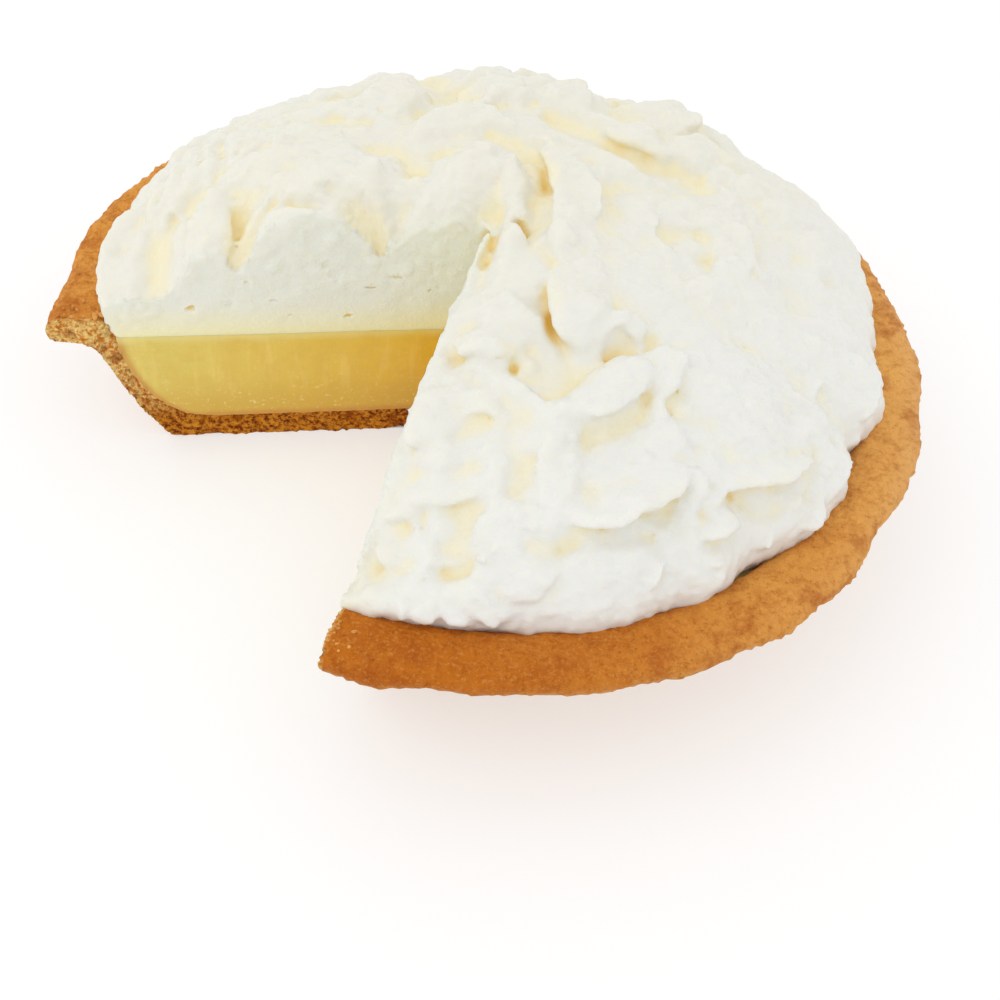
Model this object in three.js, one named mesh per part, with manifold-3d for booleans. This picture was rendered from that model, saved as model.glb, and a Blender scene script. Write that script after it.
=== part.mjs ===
// A lemon cream pie with one slice taken out: crust, lemon filling and a heaped, folded cream top.
// Millimetres, +Z up. The pie stands on z = 0 and its axis is x = y = 0.

import * as THREE from "three";
import { mergeVertices } from "three/addons/utils/BufferGeometryUtils.js";
import Module from "manifold-3d";

const wasm = await Module();
wasm.setup();

// Steps round the pie, and the clearance between pieces that touch
const SEGMENTS = 96;
const GAP = 0.3;

// Crust: a flat floor, a leaning wall and a broad flat rim with a rounded outer edge
const FLOOR_RADIUS = 93;
const FLOOR_THICKNESS = 8.3;
const FLOOR_CORNER = 3;
const WALL_FOOT_RADIUS = 78;
const WALL_BULGE_RADIUS = 101;
const WALL_BULGE_HEIGHT = 13;
const WALL_LEAN = 6;
const INNER_LEAN = 2;
const RIM_RADIUS = 122;
const RIM_TOP = 46.4;
const RIM_THICKNESS = 8;
const RIM_UNDERSIDE_START = 115;
const RIM_LOWER_ROUND = 2;
const RIM_UPPER_ROUND = 4;
const BEND_RADIUS = 110;
const BEND_WIDTH = 7;
const BEND_DEPTH = 10.4;

// Uneven rim: where the outer edge swells or shrinks (degrees round the pie, push, half width in degrees)
const RIM_SWELLS = [
  [33, 0.6, 8],
  [168, 0.6, 5],
  [178, -1.2, 8],
  [262, 1.0, 5],
  [276, -1.1, 7],
  [309, 1.3, 5],
  [331, -1.8, 6],
];
const RIM_RIPPLE = 0.35;
const RIM_WAVE = 0.4;

// The slice that is gone: its point, the directions of its two cuts, and how far it reaches
const SLICE_POINT = new THREE.Vector2(-2, 5);
const LEFT_CUT_ANGLE = 191.2;
const RIGHT_CUT_ANGLE = 256.6;
const SLICE_REACH = 190;
const SLICE_BOTTOM = -20;
const SLICE_HEIGHT = 160;
const CRUMBLE = 0.5;
const CRUMBLE_STEP = 4;

// Lemon filling
const LEMON_TOP = 39.7;
const LEMON_OUTER_LOW = 94;
const LEMON_OUTER_HIGH = 106;

// Cream: a thick lip on the rim, and a dome that is fuller toward the back than toward the front
const CREAM_RINGS = 40;
const CREAM_EDGE_RADIUS = 107.6;
const CREAM_EDGE_TOP = RIM_TOP + 1.2;
const CREAM_LEAST = 1;
const LIP_HEIGHT = 6.5;
const LIP_TIGHTNESS = 24;
const DOME_RISE = 29;
const DOME_ROUNDNESS = 0.9;
const FRONT_FALL = 2.3;
const BACK_FALL = 3.2;
const BACK_ANGLE = 95;
const BACK_SPREAD = 1.3;
const EDGE_TUCK = 2.5;
const RELIEF_FADE = 0.1;
const CREASE_SOFTNESS = 0.6;
const SECTION_RISE = 5;

// Swells and notches of the cream's edge (degrees round the pie, push, half width in degrees)
const EDGE_SWELLS = [
  [297, -2.4, 3],
  [311, -3, 4],
  [338, -3.6, 4],
  [359, -1.8, 4],
  [60, -1.5, 4],
  [122, -2, 5],
  [348, 2.6, 5],
  [330, 1.5, 4],
  [26, 6, 16],
  [35, 3, 30],
  [95, 3, 35],
  [152, 5, 22],
  [180, 1.5, 6],
  [192, -3.5, 6],
];

// Where the lip thins out, beside the two cuts (degrees round the pie, share, half width in degrees)
const LIP_THINNING = [
  [191, 1, 8],
  [256, 1, 12],
];

// A fold of the cream is a stroke of the spatula: a heap or a scoop along a curve through three points.
// It has a level over the dome at both ends, and a width to the left and right of its direction,
// which is how far out its round section has bent by SECTION_RISE.
const FOLDS = [
  // Left side: a smooth hollow inside the outer band, a fat petal and a deep pocket
  scoop([-93, 13], [-92, -8], [-89, -26], [-3.5, -7], [7, 6]),
  heap([-78, 8], [-77, -9], [-76, -19], [3, 3.5], [6.5, 6.5]),
  scoop([-70, 1], [-68, -6], [-69, -13], [-3, -6], [3.5, 3.5]),
  // Broad mound behind the left cut, whose front edge hangs over the lobe that the cut goes through
  heap([-72, 28], [-57, 26], [-42, 10], [4, 4], [18, 16]),
  heap([-72, 9], [-56, 10], [-43, 12], [3, 3.5], [12, 3.5]),
  heap([-43, 11], [-30, 2], [-18, -13], [3, 2], [10, 4]),
  // Back left: lumps along the skyline, a hollow behind a ridge, and the smooth swipe down to the cut
  heap([-57, 46], [-52, 48], [-45, 46], [3, 3], [9, 5]),
  heap([-41, 52], [-35, 55], [-28, 53], [4, 4], [9, 6]),
  heap([-64, 62], [-52, 66], [-36, 72], [3, 3], [10, 9]),
  scoop([-35, 34], [-31, 17], [-30, -3], [0, -11], [12, 10]),
  scoop([-24, 48], [-17, 54], [-8, 56], [-3, -4], [6, 5]),
  heap([-24, 38], [-15, 44], [-4, 45], [3, 3], [5, 9]),
  // The lobe that the left cut goes through, with the mound's edge close behind it
  heap([-52, -14], [-53, -6], [-54, 0], [7.5, 7], [11, 11]),
  heap([-64, 13], [-54, 15], [-43, 9], [7.5, 6], [14, 7]),
  // Right lobe at the slice's point, and the long S of a fold with a trough inside it
  heap([-15, -6], [-13, 10], [-6, 22], [4, 4], [11, 9]),
  heap([10, 32], [18, 18], [16, -11], [4, 3], [10, 5]),
  scoop([-5, 38], [5, 31], [10, 16], [-2, -3], [5, 5]),
  scoop([10, 16], [9, 1], [6, -8], [-3, -8], [5, 5]),
  heap([0, 24], [3, 9], [3, -9], [3.5, 2.5], [5, 6]),
  heap([23, 14], [22, 3], [25, -8], [2.5, 2], [3.5, 12]),
  // Back: a skyline of lumps, and a long crescent trough with a sharp far edge
  heap([-15, 57], [-7, 62], [1, 62], [4, 4.5], [9, 6]),
  heap([4, 65], [9, 65], [12, 63], [3.5, 3.5], [8, 6]),
  heap([14, 66], [17, 67], [19, 60], [6, 3], [7, 6]),
  heap([-18, 80], [-4, 80], [12, 80], [3, 3], [9, 9]),
  heap([18, 43], [36, 26], [50, 20], [2.5, 2.5], [5, 14]),
  heap([25, 52], [36, 50], [46, 42], [3.5, 3.5], [9, 5]),
  scoop([16, 53], [33, 41], [55, 34], [-3, -3], [5, 9]),
  heap([50, 49], [52, 46], [54, 44], [5, 5], [7, 6]),
  heap([61, 39], [65, 38], [69, 34], [3, 3], [7, 6]),
  heap([46, 63], [53, 69], [62, 68], [5, 5], [10, 9]),
  scoop([33, 90], [33, 74], [33, 62], [-4, -3], [9, 9]),
  scoop([-24, 92], [-21, 76], [-19, 62], [-6, -6], [8, 8]),
  // Right: a rough bowl with a raised side, and a soft dimple
  heap([36, 8], [50, 17], [56, 11], [2, 2.5], [9, 9]),
  scoop([42, 0], [51, 6], [55, -2], [-1.2, -2], [8, 8]),
  heap([60, 17], [62, 5], [58, -9], [2.5, 2], [9, 6]),
  scoop([84, 18], [82, 2], [79, -12], [-1.5, -1.5], [9, 9]),
  heap([76, 30], [84, 26], [92, 16], [2, 2], [9, 9]),
  // Middle: a hanging lump with a curled lip, a faceted lump at the cut and the smooth basin below them
  heap([23, -15], [23, -33], [24, -45], [3, 4.5], [9, 7]),
  heap([28, -40], [34, -36], [38, -40], [3.5, 3.5], [6, 4]),
  heap([-6, -31], [1, -38], [9, -41], [3, 3], [10, 6]),
  scoop([9, -50], [20, -53], [18, -60], [-3.5, -4], [11, 10]),
  // A fat tongue that hangs down to the left, with the upright fold behind it
  heap([41, -45], [31, -56], [21, -66], [3.5, 4.5], [5, 7]),
  scoop([21, -70], [29, -67], [40, -58], [-2, -2.5], [4, 5]),
  heap([44, -40], [43, -50], [42, -59], [3.5, 4], [4.5, 4.5]),
  // A ball at the cut with a smooth face beside it, a band below and an oval hollow
  heap([-4, -50], [7, -61], [18, -67], [2, 2], [7, 7]),
  heap([-9, -57], [-7, -65], [-8, -73], [3, 3.5], [9, 8]),
  scoop([-3, -65], [3, -65], [9, -67], [-1, -1.5], [7, 7]),
  heap([-18, -82], [-5, -84], [9, -76], [2, 2], [6, 8]),
  scoop([9, -72], [12, -78], [12, -85], [-1.5, -2], [7, 7]),
  heap([18, -72], [19, -80], [15, -88], [2.5, 2], [8, 4]),
  // Front: a slope beside the cut, a bulge and the long slab over a crevice
  scoop([-4, -86], [-4, -92], [-4, -98], [-4, -5], [8, 8]),
  heap([6, -91], [9, -97], [8, -102], [2.5, 3], [9, 7]),
  heap([20, -84], [31, -78], [47, -66], [3, 3.5], [12, 6]),
  heap([19, -90], [31, -84], [50, -72], [3.5, 3.5], [9, 3]),
  heap([27, -96], [40, -93], [52, -87], [2.5, 2], [7, 9]),
  scoop([15, -95], [20, -93.5], [26, -91], [-5, -1], [2.4, 2.4]),
  heap([28, -89], [38, -84], [47, -78], [1.5, 1.5], [5, 6]),
  // Front right: the big round mound with its own hanging edge, and a crescent crease below it
  heap([55, -47], [62, -50], [64, -56], [4.5, 4.5], [15, 15]),
  heap([52, -63], [68, -62], [86, -44], [3, 3], [10, 4]),
  heap([62, -76], [73, -74], [84, -64], [0.5, 0.5], [6, 6]),
  scoop([60, -71], [68, -73], [74, -70], [-2, -4], [2.2, 2.2]),
  // Front left corner, where the cream thins out to the cut
  scoop([-19, -86], [-25, -98], [-29, -110], [-6, -12], [11, 11]),
];

function strokeLine(from, by, to) {
  const start = new THREE.Vector2(...from);
  const middle = new THREE.Vector2(...by);
  const end = new THREE.Vector2(...to);
  const control = middle.multiplyScalar(2).sub(start.clone().add(end).multiplyScalar(0.5));
  return new THREE.QuadraticBezierCurve(start, control, end).getPoints(10);
}

function heap(from, by, to, level, width) {
  return { up: 1, line: strokeLine(from, by, to), level, width };
}

function scoop(from, by, to, level, width) {
  return { up: -1, line: strokeLine(from, by, to), level, width };
}

function smoothStep(value, low, high) {
  return THREE.MathUtils.smoothstep(value, low, high);
}

// Larger of two values, rounded where they meet
function softMax(a, b) {
  return (a + b + Math.hypot(a - b, CREASE_SOFTNESS)) / 2;
}

// Difference between two angles in degrees, between -180 and 180
function turn(angle, other) {
  return THREE.MathUtils.euclideanModulo(angle - other + 180, 360) - 180;
}

function degreesRound(x, y) {
  return THREE.MathUtils.radToDeg(Math.atan2(y, x));
}

// Sum of smooth swells, each given by its place round the pie, its size and its half width
function swellSum(swells, angle) {
  const swell = ([at, push, width]) => push * Math.exp(-((turn(angle, at) / width) ** 2));
  return swells.reduce((sum, entry) => sum + swell(entry), 0);
}

// Height of one fold over the dome at a point: its level along its line, bending away to both sides
function foldHeight(fold, point) {
  const steps = fold.line.length - 1;
  let best = { distance: Infinity };
  for (let i = 0; i < steps; i += 1) {
    const start = fold.line[i];
    const span = fold.line[i + 1].clone().sub(start);
    const offset = point.clone().sub(start);
    const along = THREE.MathUtils.clamp(offset.dot(span) / span.lengthSq(), 0, 1);
    const distance = offset.distanceTo(span.clone().multiplyScalar(along));
    if (distance < best.distance) {
      best = { distance, along: (i + along) / steps, left: span.cross(offset) > 0 };
    }
  }
  const level = THREE.MathUtils.lerp(fold.level[0], fold.level[1], best.along);
  const width = best.left ? fold.width[0] : fold.width[1];
  return level - fold.up * SECTION_RISE * (best.distance / width) ** 2;
}

function creamRelief(x, y) {
  const point = new THREE.Vector2(x, y);
  return FOLDS.reduce((relief, fold) => {
    return fold.up * softMax(fold.up * relief, fold.up * foldHeight(fold, point));
  }, 0);
}

function creamEdge(angle) {
  const turnAngle = THREE.MathUtils.degToRad(angle);
  const wave = 0.6 * Math.sin(5 * turnAngle + 0.7) + 0.5 * Math.sin(11 * turnAngle + 2.1);
  return CREAM_EDGE_RADIUS + wave + swellSum(EDGE_SWELLS, angle);
}

function creamDome(outward, angle) {
  const toBack = Math.max(Math.cos(THREE.MathUtils.degToRad(turn(angle, BACK_ANGLE))), 0) ** BACK_SPREAD;
  const fall = THREE.MathUtils.lerp(FRONT_FALL, BACK_FALL, toBack);
  const lipShare = THREE.MathUtils.clamp(1 - swellSum(LIP_THINNING, angle), 0, 1);
  const lip = LIP_HEIGHT * lipShare * Math.sqrt(1 - outward ** LIP_TIGHTNESS);
  return CREAM_EDGE_TOP + lip + DOME_RISE * (1 - outward ** fall) ** DOME_ROUNDNESS;
}

function creamTop(x, y) {
  const angle = degreesRound(x, y);
  const outward = Math.min(Math.hypot(x, y) / creamEdge(angle), 1);
  const fade = smoothStep(1 - outward, 0, RELIEF_FADE);
  const least = LEMON_TOP + GAP + CREAM_LEAST;
  return Math.max(creamDome(outward, angle) + fade * creamRelief(x, y), least);
}

// A solid turned from an outline that starts and ends on the axis, with its axis upright
function turned(outline) {
  return new THREE.LatheGeometry(outline, SEGMENTS).rotateX(Math.PI / 2);
}

// Moves every vertex of a geometry by a rule
function reshape(geometry, rule) {
  const position = geometry.attributes.position;
  const vertex = new THREE.Vector3();
  for (let i = 0; i < position.count; i += 1) {
    rule(vertex.fromBufferAttribute(position, i));
    position.setXYZ(i, vertex.x, vertex.y, vertex.z);
  }
  return geometry;
}

function toSolid(geometry) {
  geometry.deleteAttribute("normal");
  geometry.deleteAttribute("uv");
  const merged = mergeVertices(geometry, 1e-4);
  const vertProperties = new Float32Array(merged.attributes.position.array);
  const triVerts = new Uint32Array(merged.index.array);
  return new wasm.Manifold(new wasm.Mesh({ numProp: 3, vertProperties, triVerts }));
}

function toGeometry(solid) {
  const mesh = solid.getMesh();
  const geometry = new THREE.BufferGeometry();
  geometry.setAttribute("position", new THREE.BufferAttribute(mesh.vertProperties, 3));
  geometry.setIndex(new THREE.BufferAttribute(mesh.triVerts, 1));
  return geometry;
}

// One side of the slice, from its point outward, crumbling to either side of the straight cut
function cutSide(angle, crumble) {
  const turnAngle = THREE.MathUtils.degToRad(angle);
  const direction = new THREE.Vector2(Math.cos(turnAngle), Math.sin(turnAngle));
  const across = new THREE.Vector2(-direction.y, direction.x);
  const count = crumble > 0 ? Math.round(SLICE_REACH / CRUMBLE_STEP) : 1;
  return Array.from({ length: count + 1 }, (_, i) => {
    const far = (SLICE_REACH * i) / count;
    const shift = i > 0 ? crumble * (Math.sin(1.1 * far) + 0.7 * Math.sin(0.37 * far + angle)) : 0;
    return SLICE_POINT.clone().addScaledVector(direction, far).addScaledVector(across, shift);
  });
}

function sliceSolid(crumble) {
  const left = cutSide(LEFT_CUT_ANGLE, crumble);
  const right = cutSide(RIGHT_CUT_ANGLE, crumble);
  const shape = new THREE.Shape([...left, ...right.slice(1).reverse()]);
  const block = new THREE.ExtrudeGeometry(shape, { depth: SLICE_HEIGHT, bevelEnabled: false });
  return toSolid(block.translate(0, 0, SLICE_BOTTOM));
}

// Outline of the crust, with its upper and inner faces moved out by a clearance
function crustOutline(clearance) {
  const top = RIM_TOP + clearance;
  const under = RIM_TOP - RIM_THICKNESS;
  const middle = RIM_TOP - RIM_THICKNESS / 2;
  const bendInner = BEND_RADIUS - BEND_WIDTH - clearance;
  const bendFoot = RIM_TOP - BEND_DEPTH;
  const floorTop = FLOOR_THICKNESS + clearance;
  const wallRise = (bendFoot - floorTop) / 2;
  const point = (r, z) => new THREE.Vector2(r, z);
  const corner = point(FLOOR_RADIUS, FLOOR_CORNER);
  const rimStart = point(RIM_UNDERSIDE_START, under);
  const edge = point(RIM_RADIUS, middle);
  const bend = new THREE.EllipseCurve(
    BEND_RADIUS, bendFoot, BEND_WIDTH + clearance, BEND_DEPTH + clearance, Math.PI / 2, Math.PI,
  );
  const foot = point(FLOOR_RADIUS - FLOOR_CORNER, 0);
  const bulge = point(WALL_BULGE_RADIUS, WALL_BULGE_HEIGHT);
  const lowerRound = point(RIM_RADIUS - RIM_LOWER_ROUND, under);
  const upperRound = point(RIM_RADIUS - RIM_UPPER_ROUND, top);
  const pieces = [
    new THREE.QuadraticBezierCurve(foot, point(FLOOR_RADIUS, 0), corner).getPoints(2),
    new THREE.CubicBezierCurve(corner, bulge, point(bulge.x + WALL_LEAN, under - 2), rimStart).getPoints(5),
    new THREE.QuadraticBezierCurve(lowerRound, point(RIM_RADIUS, under), edge).getPoints(2),
    new THREE.QuadraticBezierCurve(edge, point(RIM_RADIUS, top), upperRound).getPoints(3),
    bend.getPoints(4),
    new THREE.CubicBezierCurve(
      point(bendInner, bendFoot),
      point(bendInner - INNER_LEAN, bendFoot - wallRise),
      point(FLOOR_RADIUS, floorTop),
      point(WALL_FOOT_RADIUS, floorTop),
    ).getPoints(4),
  ];
  const outline = [point(0, 0), ...pieces.flat(), point(0, floorTop)];
  return outline.filter((spot, i) => i === 0 || spot.distanceTo(outline[i - 1]) > 1e-6);
}

function crustSolid(clearance) {
  const geometry = reshape(turned(crustOutline(clearance)), (vertex) => {
    const angle = degreesRound(vertex.x, vertex.y);
    const turnAngle = THREE.MathUtils.degToRad(angle);
    const radius = Math.hypot(vertex.x, vertex.y);
    const outer = smoothStep(radius, BEND_RADIUS, RIM_RADIUS);
    const ripple = RIM_RIPPLE * (Math.sin(17 * turnAngle + 1) + Math.sin(29 * turnAngle + 2));
    const push = outer * (swellSum(RIM_SWELLS, angle) + ripple);
    const wave = Math.sin(7 * turnAngle + 0.6) + 0.7 * Math.sin(13 * turnAngle + 2);
    vertex.x += push * Math.cos(turnAngle);
    vertex.y += push * Math.sin(turnAngle);
    vertex.z += smoothStep(radius, BEND_RADIUS - BEND_WIDTH, BEND_RADIUS) * RIM_WAVE * wave;
  });
  return toSolid(geometry);
}

function lemonSolid() {
  const low = FLOOR_THICKNESS;
  const outline = [
    new THREE.Vector2(0, low),
    new THREE.Vector2(LEMON_OUTER_LOW, low),
    new THREE.Vector2(LEMON_OUTER_HIGH, LEMON_TOP),
    new THREE.Vector2(0, LEMON_TOP),
  ];
  return toSolid(turned(outline));
}

// A flat round pad, one unit in radius and height, drawn out to the cream's edge and up to its folded top
function creamSolid() {
  const rings = Array.from({ length: CREAM_RINGS + 1 }, (_, i) => new THREE.Vector2(1 - i / CREAM_RINGS, 1));
  const underside = [[0, 0], [0.5, 0], [1, 0], [1, 0.6]].map(([r, z]) => new THREE.Vector2(r, z));
  const bottom = LEMON_TOP + GAP;
  const geometry = reshape(turned([...underside, ...rings]), (vertex) => {
    const turnAngle = Math.atan2(vertex.y, vertex.x);
    const edge = creamEdge(THREE.MathUtils.radToDeg(turnAngle)) - EDGE_TUCK * (1 - vertex.z) ** 2;
    const radius = edge * Math.hypot(vertex.x, vertex.y);
    const x = radius * Math.cos(turnAngle);
    const y = radius * Math.sin(turnAngle);
    vertex.set(x, y, THREE.MathUtils.lerp(bottom, creamTop(x, y), vertex.z));
  });
  return toSolid(geometry);
}

function namedMesh(name, solid, look) {
  const mesh = new THREE.Mesh(toGeometry(solid), new THREE.MeshStandardMaterial(look));
  mesh.name = name;
  return mesh;
}

const slice = sliceSolid(0);
const crumbledSlice = sliceSolid(CRUMBLE);
const crustClearance = crustSolid(GAP);

const crust = crustSolid(0).subtract(crumbledSlice);
const lemon = lemonSolid().subtract(crustClearance).subtract(slice);
const cream = creamSolid().subtract(crustClearance).subtract(slice);

const pie = new THREE.Group();
pie.name = "lemon_cream_pie";
pie.add(
  namedMesh("crust", crust, { color: 0xc98a48, roughness: 0.85, metalness: 0 }),
  namedMesh("lemon_filling", lemon, { color: 0xe6c765, roughness: 0.35, metalness: 0 }),
  namedMesh("whipped_cream", cream, { color: 0xfbf6e6, roughness: 0.6, metalness: 0 }),
);

export default pie;
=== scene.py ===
# %% [markdown]
# # A lemon cream pie with a slice taken out
# The pie has three layers: a baked crumb crust, a lemon custard and a heap of whipped cream.
# The imported solids give their places and sizes. Here each layer gets the surface that an eye close to
# the table would see: crumb, pits, folds, lips and the warm shade painted into the cream's creases.

# %% Load the imported model as the frame
import itertools
import math

import bmesh
import bpy
import numpy as np
from mathutils import Matrix, Vector


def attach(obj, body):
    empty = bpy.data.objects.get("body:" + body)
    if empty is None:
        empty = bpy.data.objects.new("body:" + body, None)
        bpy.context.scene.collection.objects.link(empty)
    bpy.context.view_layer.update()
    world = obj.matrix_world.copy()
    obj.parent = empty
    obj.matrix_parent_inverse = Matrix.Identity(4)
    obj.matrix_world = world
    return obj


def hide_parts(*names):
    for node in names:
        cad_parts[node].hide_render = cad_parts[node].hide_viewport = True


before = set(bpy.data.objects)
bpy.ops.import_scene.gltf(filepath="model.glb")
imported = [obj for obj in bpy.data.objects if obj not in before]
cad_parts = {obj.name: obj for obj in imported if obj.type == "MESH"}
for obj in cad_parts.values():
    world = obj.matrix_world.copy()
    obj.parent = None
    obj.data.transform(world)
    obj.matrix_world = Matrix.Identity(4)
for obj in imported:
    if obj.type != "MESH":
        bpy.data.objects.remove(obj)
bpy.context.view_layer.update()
MM = 0.001

# %% [markdown]
# ## Camera
# The camera stands in front of the pie and looks down at it at about 45 degrees. A camera that is aimed
# at the pie's base and then panned, tilted and rolled a little gives the framing of a hand-held shot.

# %% Camera
CAMERA_PLACE = Vector((0.0, -0.29716, 0.30333))
CAMERA_TURNS = [(-1.091, "Y"), (-2.4819, "X"), (5.8052, "Z")]


def new_object(name, data):
    """An object that shows in the scene, at the origin."""
    item = bpy.data.objects.new(name, data)
    bpy.context.scene.collection.objects.link(item)
    return item


camera_data = bpy.data.cameras.new("photo_camera")
camera_data.lens = 50.0
camera_data.sensor_width = 36.0
camera = new_object("photo_camera", camera_data)
aim = (-CAMERA_PLACE).to_track_quat("-Z", "Y").to_matrix()
for degrees, axis in CAMERA_TURNS:
    aim = aim @ Matrix.Rotation(math.radians(degrees), 3, axis)
camera.matrix_world = Matrix.LocRotScale(CAMERA_PLACE, aim, None)
bpy.context.scene.camera = camera
print("camera at", list(CAMERA_PLACE))

# %% [markdown]
# ## Shader sums
# A material is a small sum over sockets. Wrapping a socket in a class with operators lets the sum be
# written as one line of Python, and each operator adds its Math node.


# %% A socket that can be used in sums
class Wire:
    """An output socket of a node that takes part in Python sums."""

    def __init__(self, finish, socket):
        self.finish = finish
        self.socket = socket

    def math(self, operation, left, right):
        return self.finish.node("ShaderNodeMath", {"operation": operation}, {0: left, 1: right})

    def __add__(self, other):
        return self.math("ADD", self, other)

    def __radd__(self, other):
        return self.math("ADD", other, self)

    def __sub__(self, other):
        return self.math("SUBTRACT", self, other)

    def __rsub__(self, other):
        return self.math("SUBTRACT", other, self)

    def __mul__(self, other):
        return self.math("MULTIPLY", self, other)

    def __rmul__(self, other):
        return self.math("MULTIPLY", other, self)


# %% A finish that holds the nodes
class Finish:
    """One material: a Principled shader with its constants, and the nodes that feed it."""

    def __init__(self, name, **constants):
        self.material = bpy.data.materials.new(name)
        self.material.use_nodes = True
        self.tree = self.material.node_tree
        self.shader = self.tree.nodes["Principled BSDF"]
        for socket, value in constants.items():
            self.shader.inputs[socket.replace("_", " ")].default_value = value
        self.place = self.node("ShaderNodeTexCoord", out="Object")

    def node(self, kind, settings=None, sockets=None, out=0):
        node = self.tree.nodes.new(kind)
        for name, value in (settings or {}).items():
            setattr(node, name, value)
        for name, value in (sockets or {}).items():
            if isinstance(value, Wire):
                self.tree.links.new(value.socket, node.inputs[name])
            else:
                node.inputs[name].default_value = value
        return Wire(self, node.outputs[out])

    def noise(self, size, detail=3.0, rough=0.55, stretch=(1.0, 1.0, 1.0)):
        """Cloudy values between 0 and 1, with blotches of about size millimetres."""
        scaled = self.node("ShaderNodeVectorMath", {"operation": "MULTIPLY"}, {0: self.place, 1: stretch})
        sockets = {"Vector": scaled, "Scale": 1.0 / (size * MM), "Detail": detail, "Roughness": rough}
        return self.node("ShaderNodeTexNoise", None, sockets, "Fac")

    def step(self, value, low, high):
        """0 below low, 1 above high, smooth between."""
        settings = {"interpolation_type": "SMOOTHSTEP"}
        return self.node("ShaderNodeMapRange", settings, {"Value": value, "From Min": low, "From Max": high})

    def mark(self, name):
        """Values that the mesh carries at its vertices."""
        return self.node("ShaderNodeAttribute", {"attribute_name": name}, None, "Fac")

    def mix(self, amount, first, second):
        return self.node("ShaderNodeMix", {"data_type": "RGBA"}, {0: amount, 6: first, 7: second}, 2)

    def coats(self, colour, *coats):
        """A colour with other colours laid over it, one after another, each by its own share."""
        for share, coat in coats:
            colour = self.mix(share, colour, coat)
        return colour

    def bump(self, height, depth, strength):
        sockets = {"Height": height, "Distance": depth * MM, "Strength": strength}
        self.feed("Normal", self.node("ShaderNodeBump", None, sockets, "Normal"))

    def feed(self, socket, wire):
        self.tree.links.new(wire.socket, self.shader.inputs[socket])


def tone(*screen):
    """A colour as it looks on a screen, 0 to 255, as the linear colour that a shader takes."""
    shares = [value / 255.0 for value in screen]
    linear = [share / 12.92 if share <= 0.04045 else ((share + 0.055) / 1.055) ** 2.4 for share in shares]
    return (*linear, 1.0)


print("a middle grey is", round(tone(128, 128, 128)[0], 3), "in linear light")

# %% [markdown]
# ## Floor and light
# A bright table by a window: light comes from everywhere, a little more from above and the left. The
# floor glows as much as it reflects, which halves the shadow, as bright white paper below would.

# %% Floor and light
FLOOR_SIZE = 6.0
FLOOR_GLOW = 0.49
WORLD_LIGHT = 1.0
WINDOW_PLACE = Vector((-0.7, -0.35, 0.9))
WHITE = (1.0, 1.0, 1.0, 1.0)

floor_shape = bmesh.new()
bmesh.ops.create_grid(floor_shape, x_segments=1, y_segments=1, size=FLOOR_SIZE / 2)
floor_mesh = bpy.data.meshes.new("floor")
floor_shape.to_mesh(floor_mesh)
floor_shape.free()
floor = new_object("floor", floor_mesh)
paper = Finish("pale_floor", Roughness=0.9, Base_Color=(0.5, 0.5, 0.5, 1.0),
               Emission_Color=WHITE, Emission_Strength=FLOOR_GLOW)
floor_mesh.materials.append(paper.material)

world = bpy.data.worlds.new("soft_daylight")
world.use_nodes = True
world.node_tree.nodes["Background"].inputs["Color"].default_value = WHITE
world.node_tree.nodes["Background"].inputs["Strength"].default_value = WORLD_LIGHT
bpy.context.scene.world = world
bpy.context.scene.view_settings.view_transform = "Standard"

window = bpy.data.lights.new("window_left", "AREA")
window.size = 0.9
window.energy = 1.5
heading = (Vector((0.0, 0.0, 0.04)) - WINDOW_PLACE).to_track_quat("-Z", "Y").to_matrix()
new_object("window_left", window).matrix_world = Matrix.LocRotScale(WINDOW_PLACE, heading, None)
print("world light", WORLD_LIGHT, "and a window of", window.energy, "watts")

# %% [markdown]
# ## Plan of the pie
# All the layers share one plan: a round pie and two straight cuts that meet a little off its centre.
# Each layer starts as the same flat upright grid, spun round the slice's point from one cut to the
# other. Its three unit directions, outward, upward and round, are then bent into the layer's own form.
# Both cut faces come out flat and evenly meshed this way, and no boolean is needed.

# %% The shared plan, in millimetres
SLICE_POINT = np.array([-2.0, 5.0, 0.0])
RIGHT_CUT = math.radians(256.6)
LEFT_CUT = math.radians(191.2 + 360.0)
RIM_RADIUS = 122.0
RIM_TOP = 46.4
RIM_THICKNESS = 8.0
LEMON_TOP = 39.7
FLOOR_THICKNESS = 8.3
TINY = 1e-5
SAME_ANGLE = 1e-4
FULL_TURN = 2 * math.pi


def cut_normal(angle, side):
    return side * np.array([-math.sin(angle), math.cos(angle), 0.0])


RIGHT_OUT = cut_normal(RIGHT_CUT, -1.0)
LEFT_OUT = cut_normal(LEFT_CUT, 1.0)
print("the pie goes round", round(math.degrees(LEFT_CUT - RIGHT_CUT), 1), "degrees")

# %% A block that fills the plan
SPIN_SPLITS = 10


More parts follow.
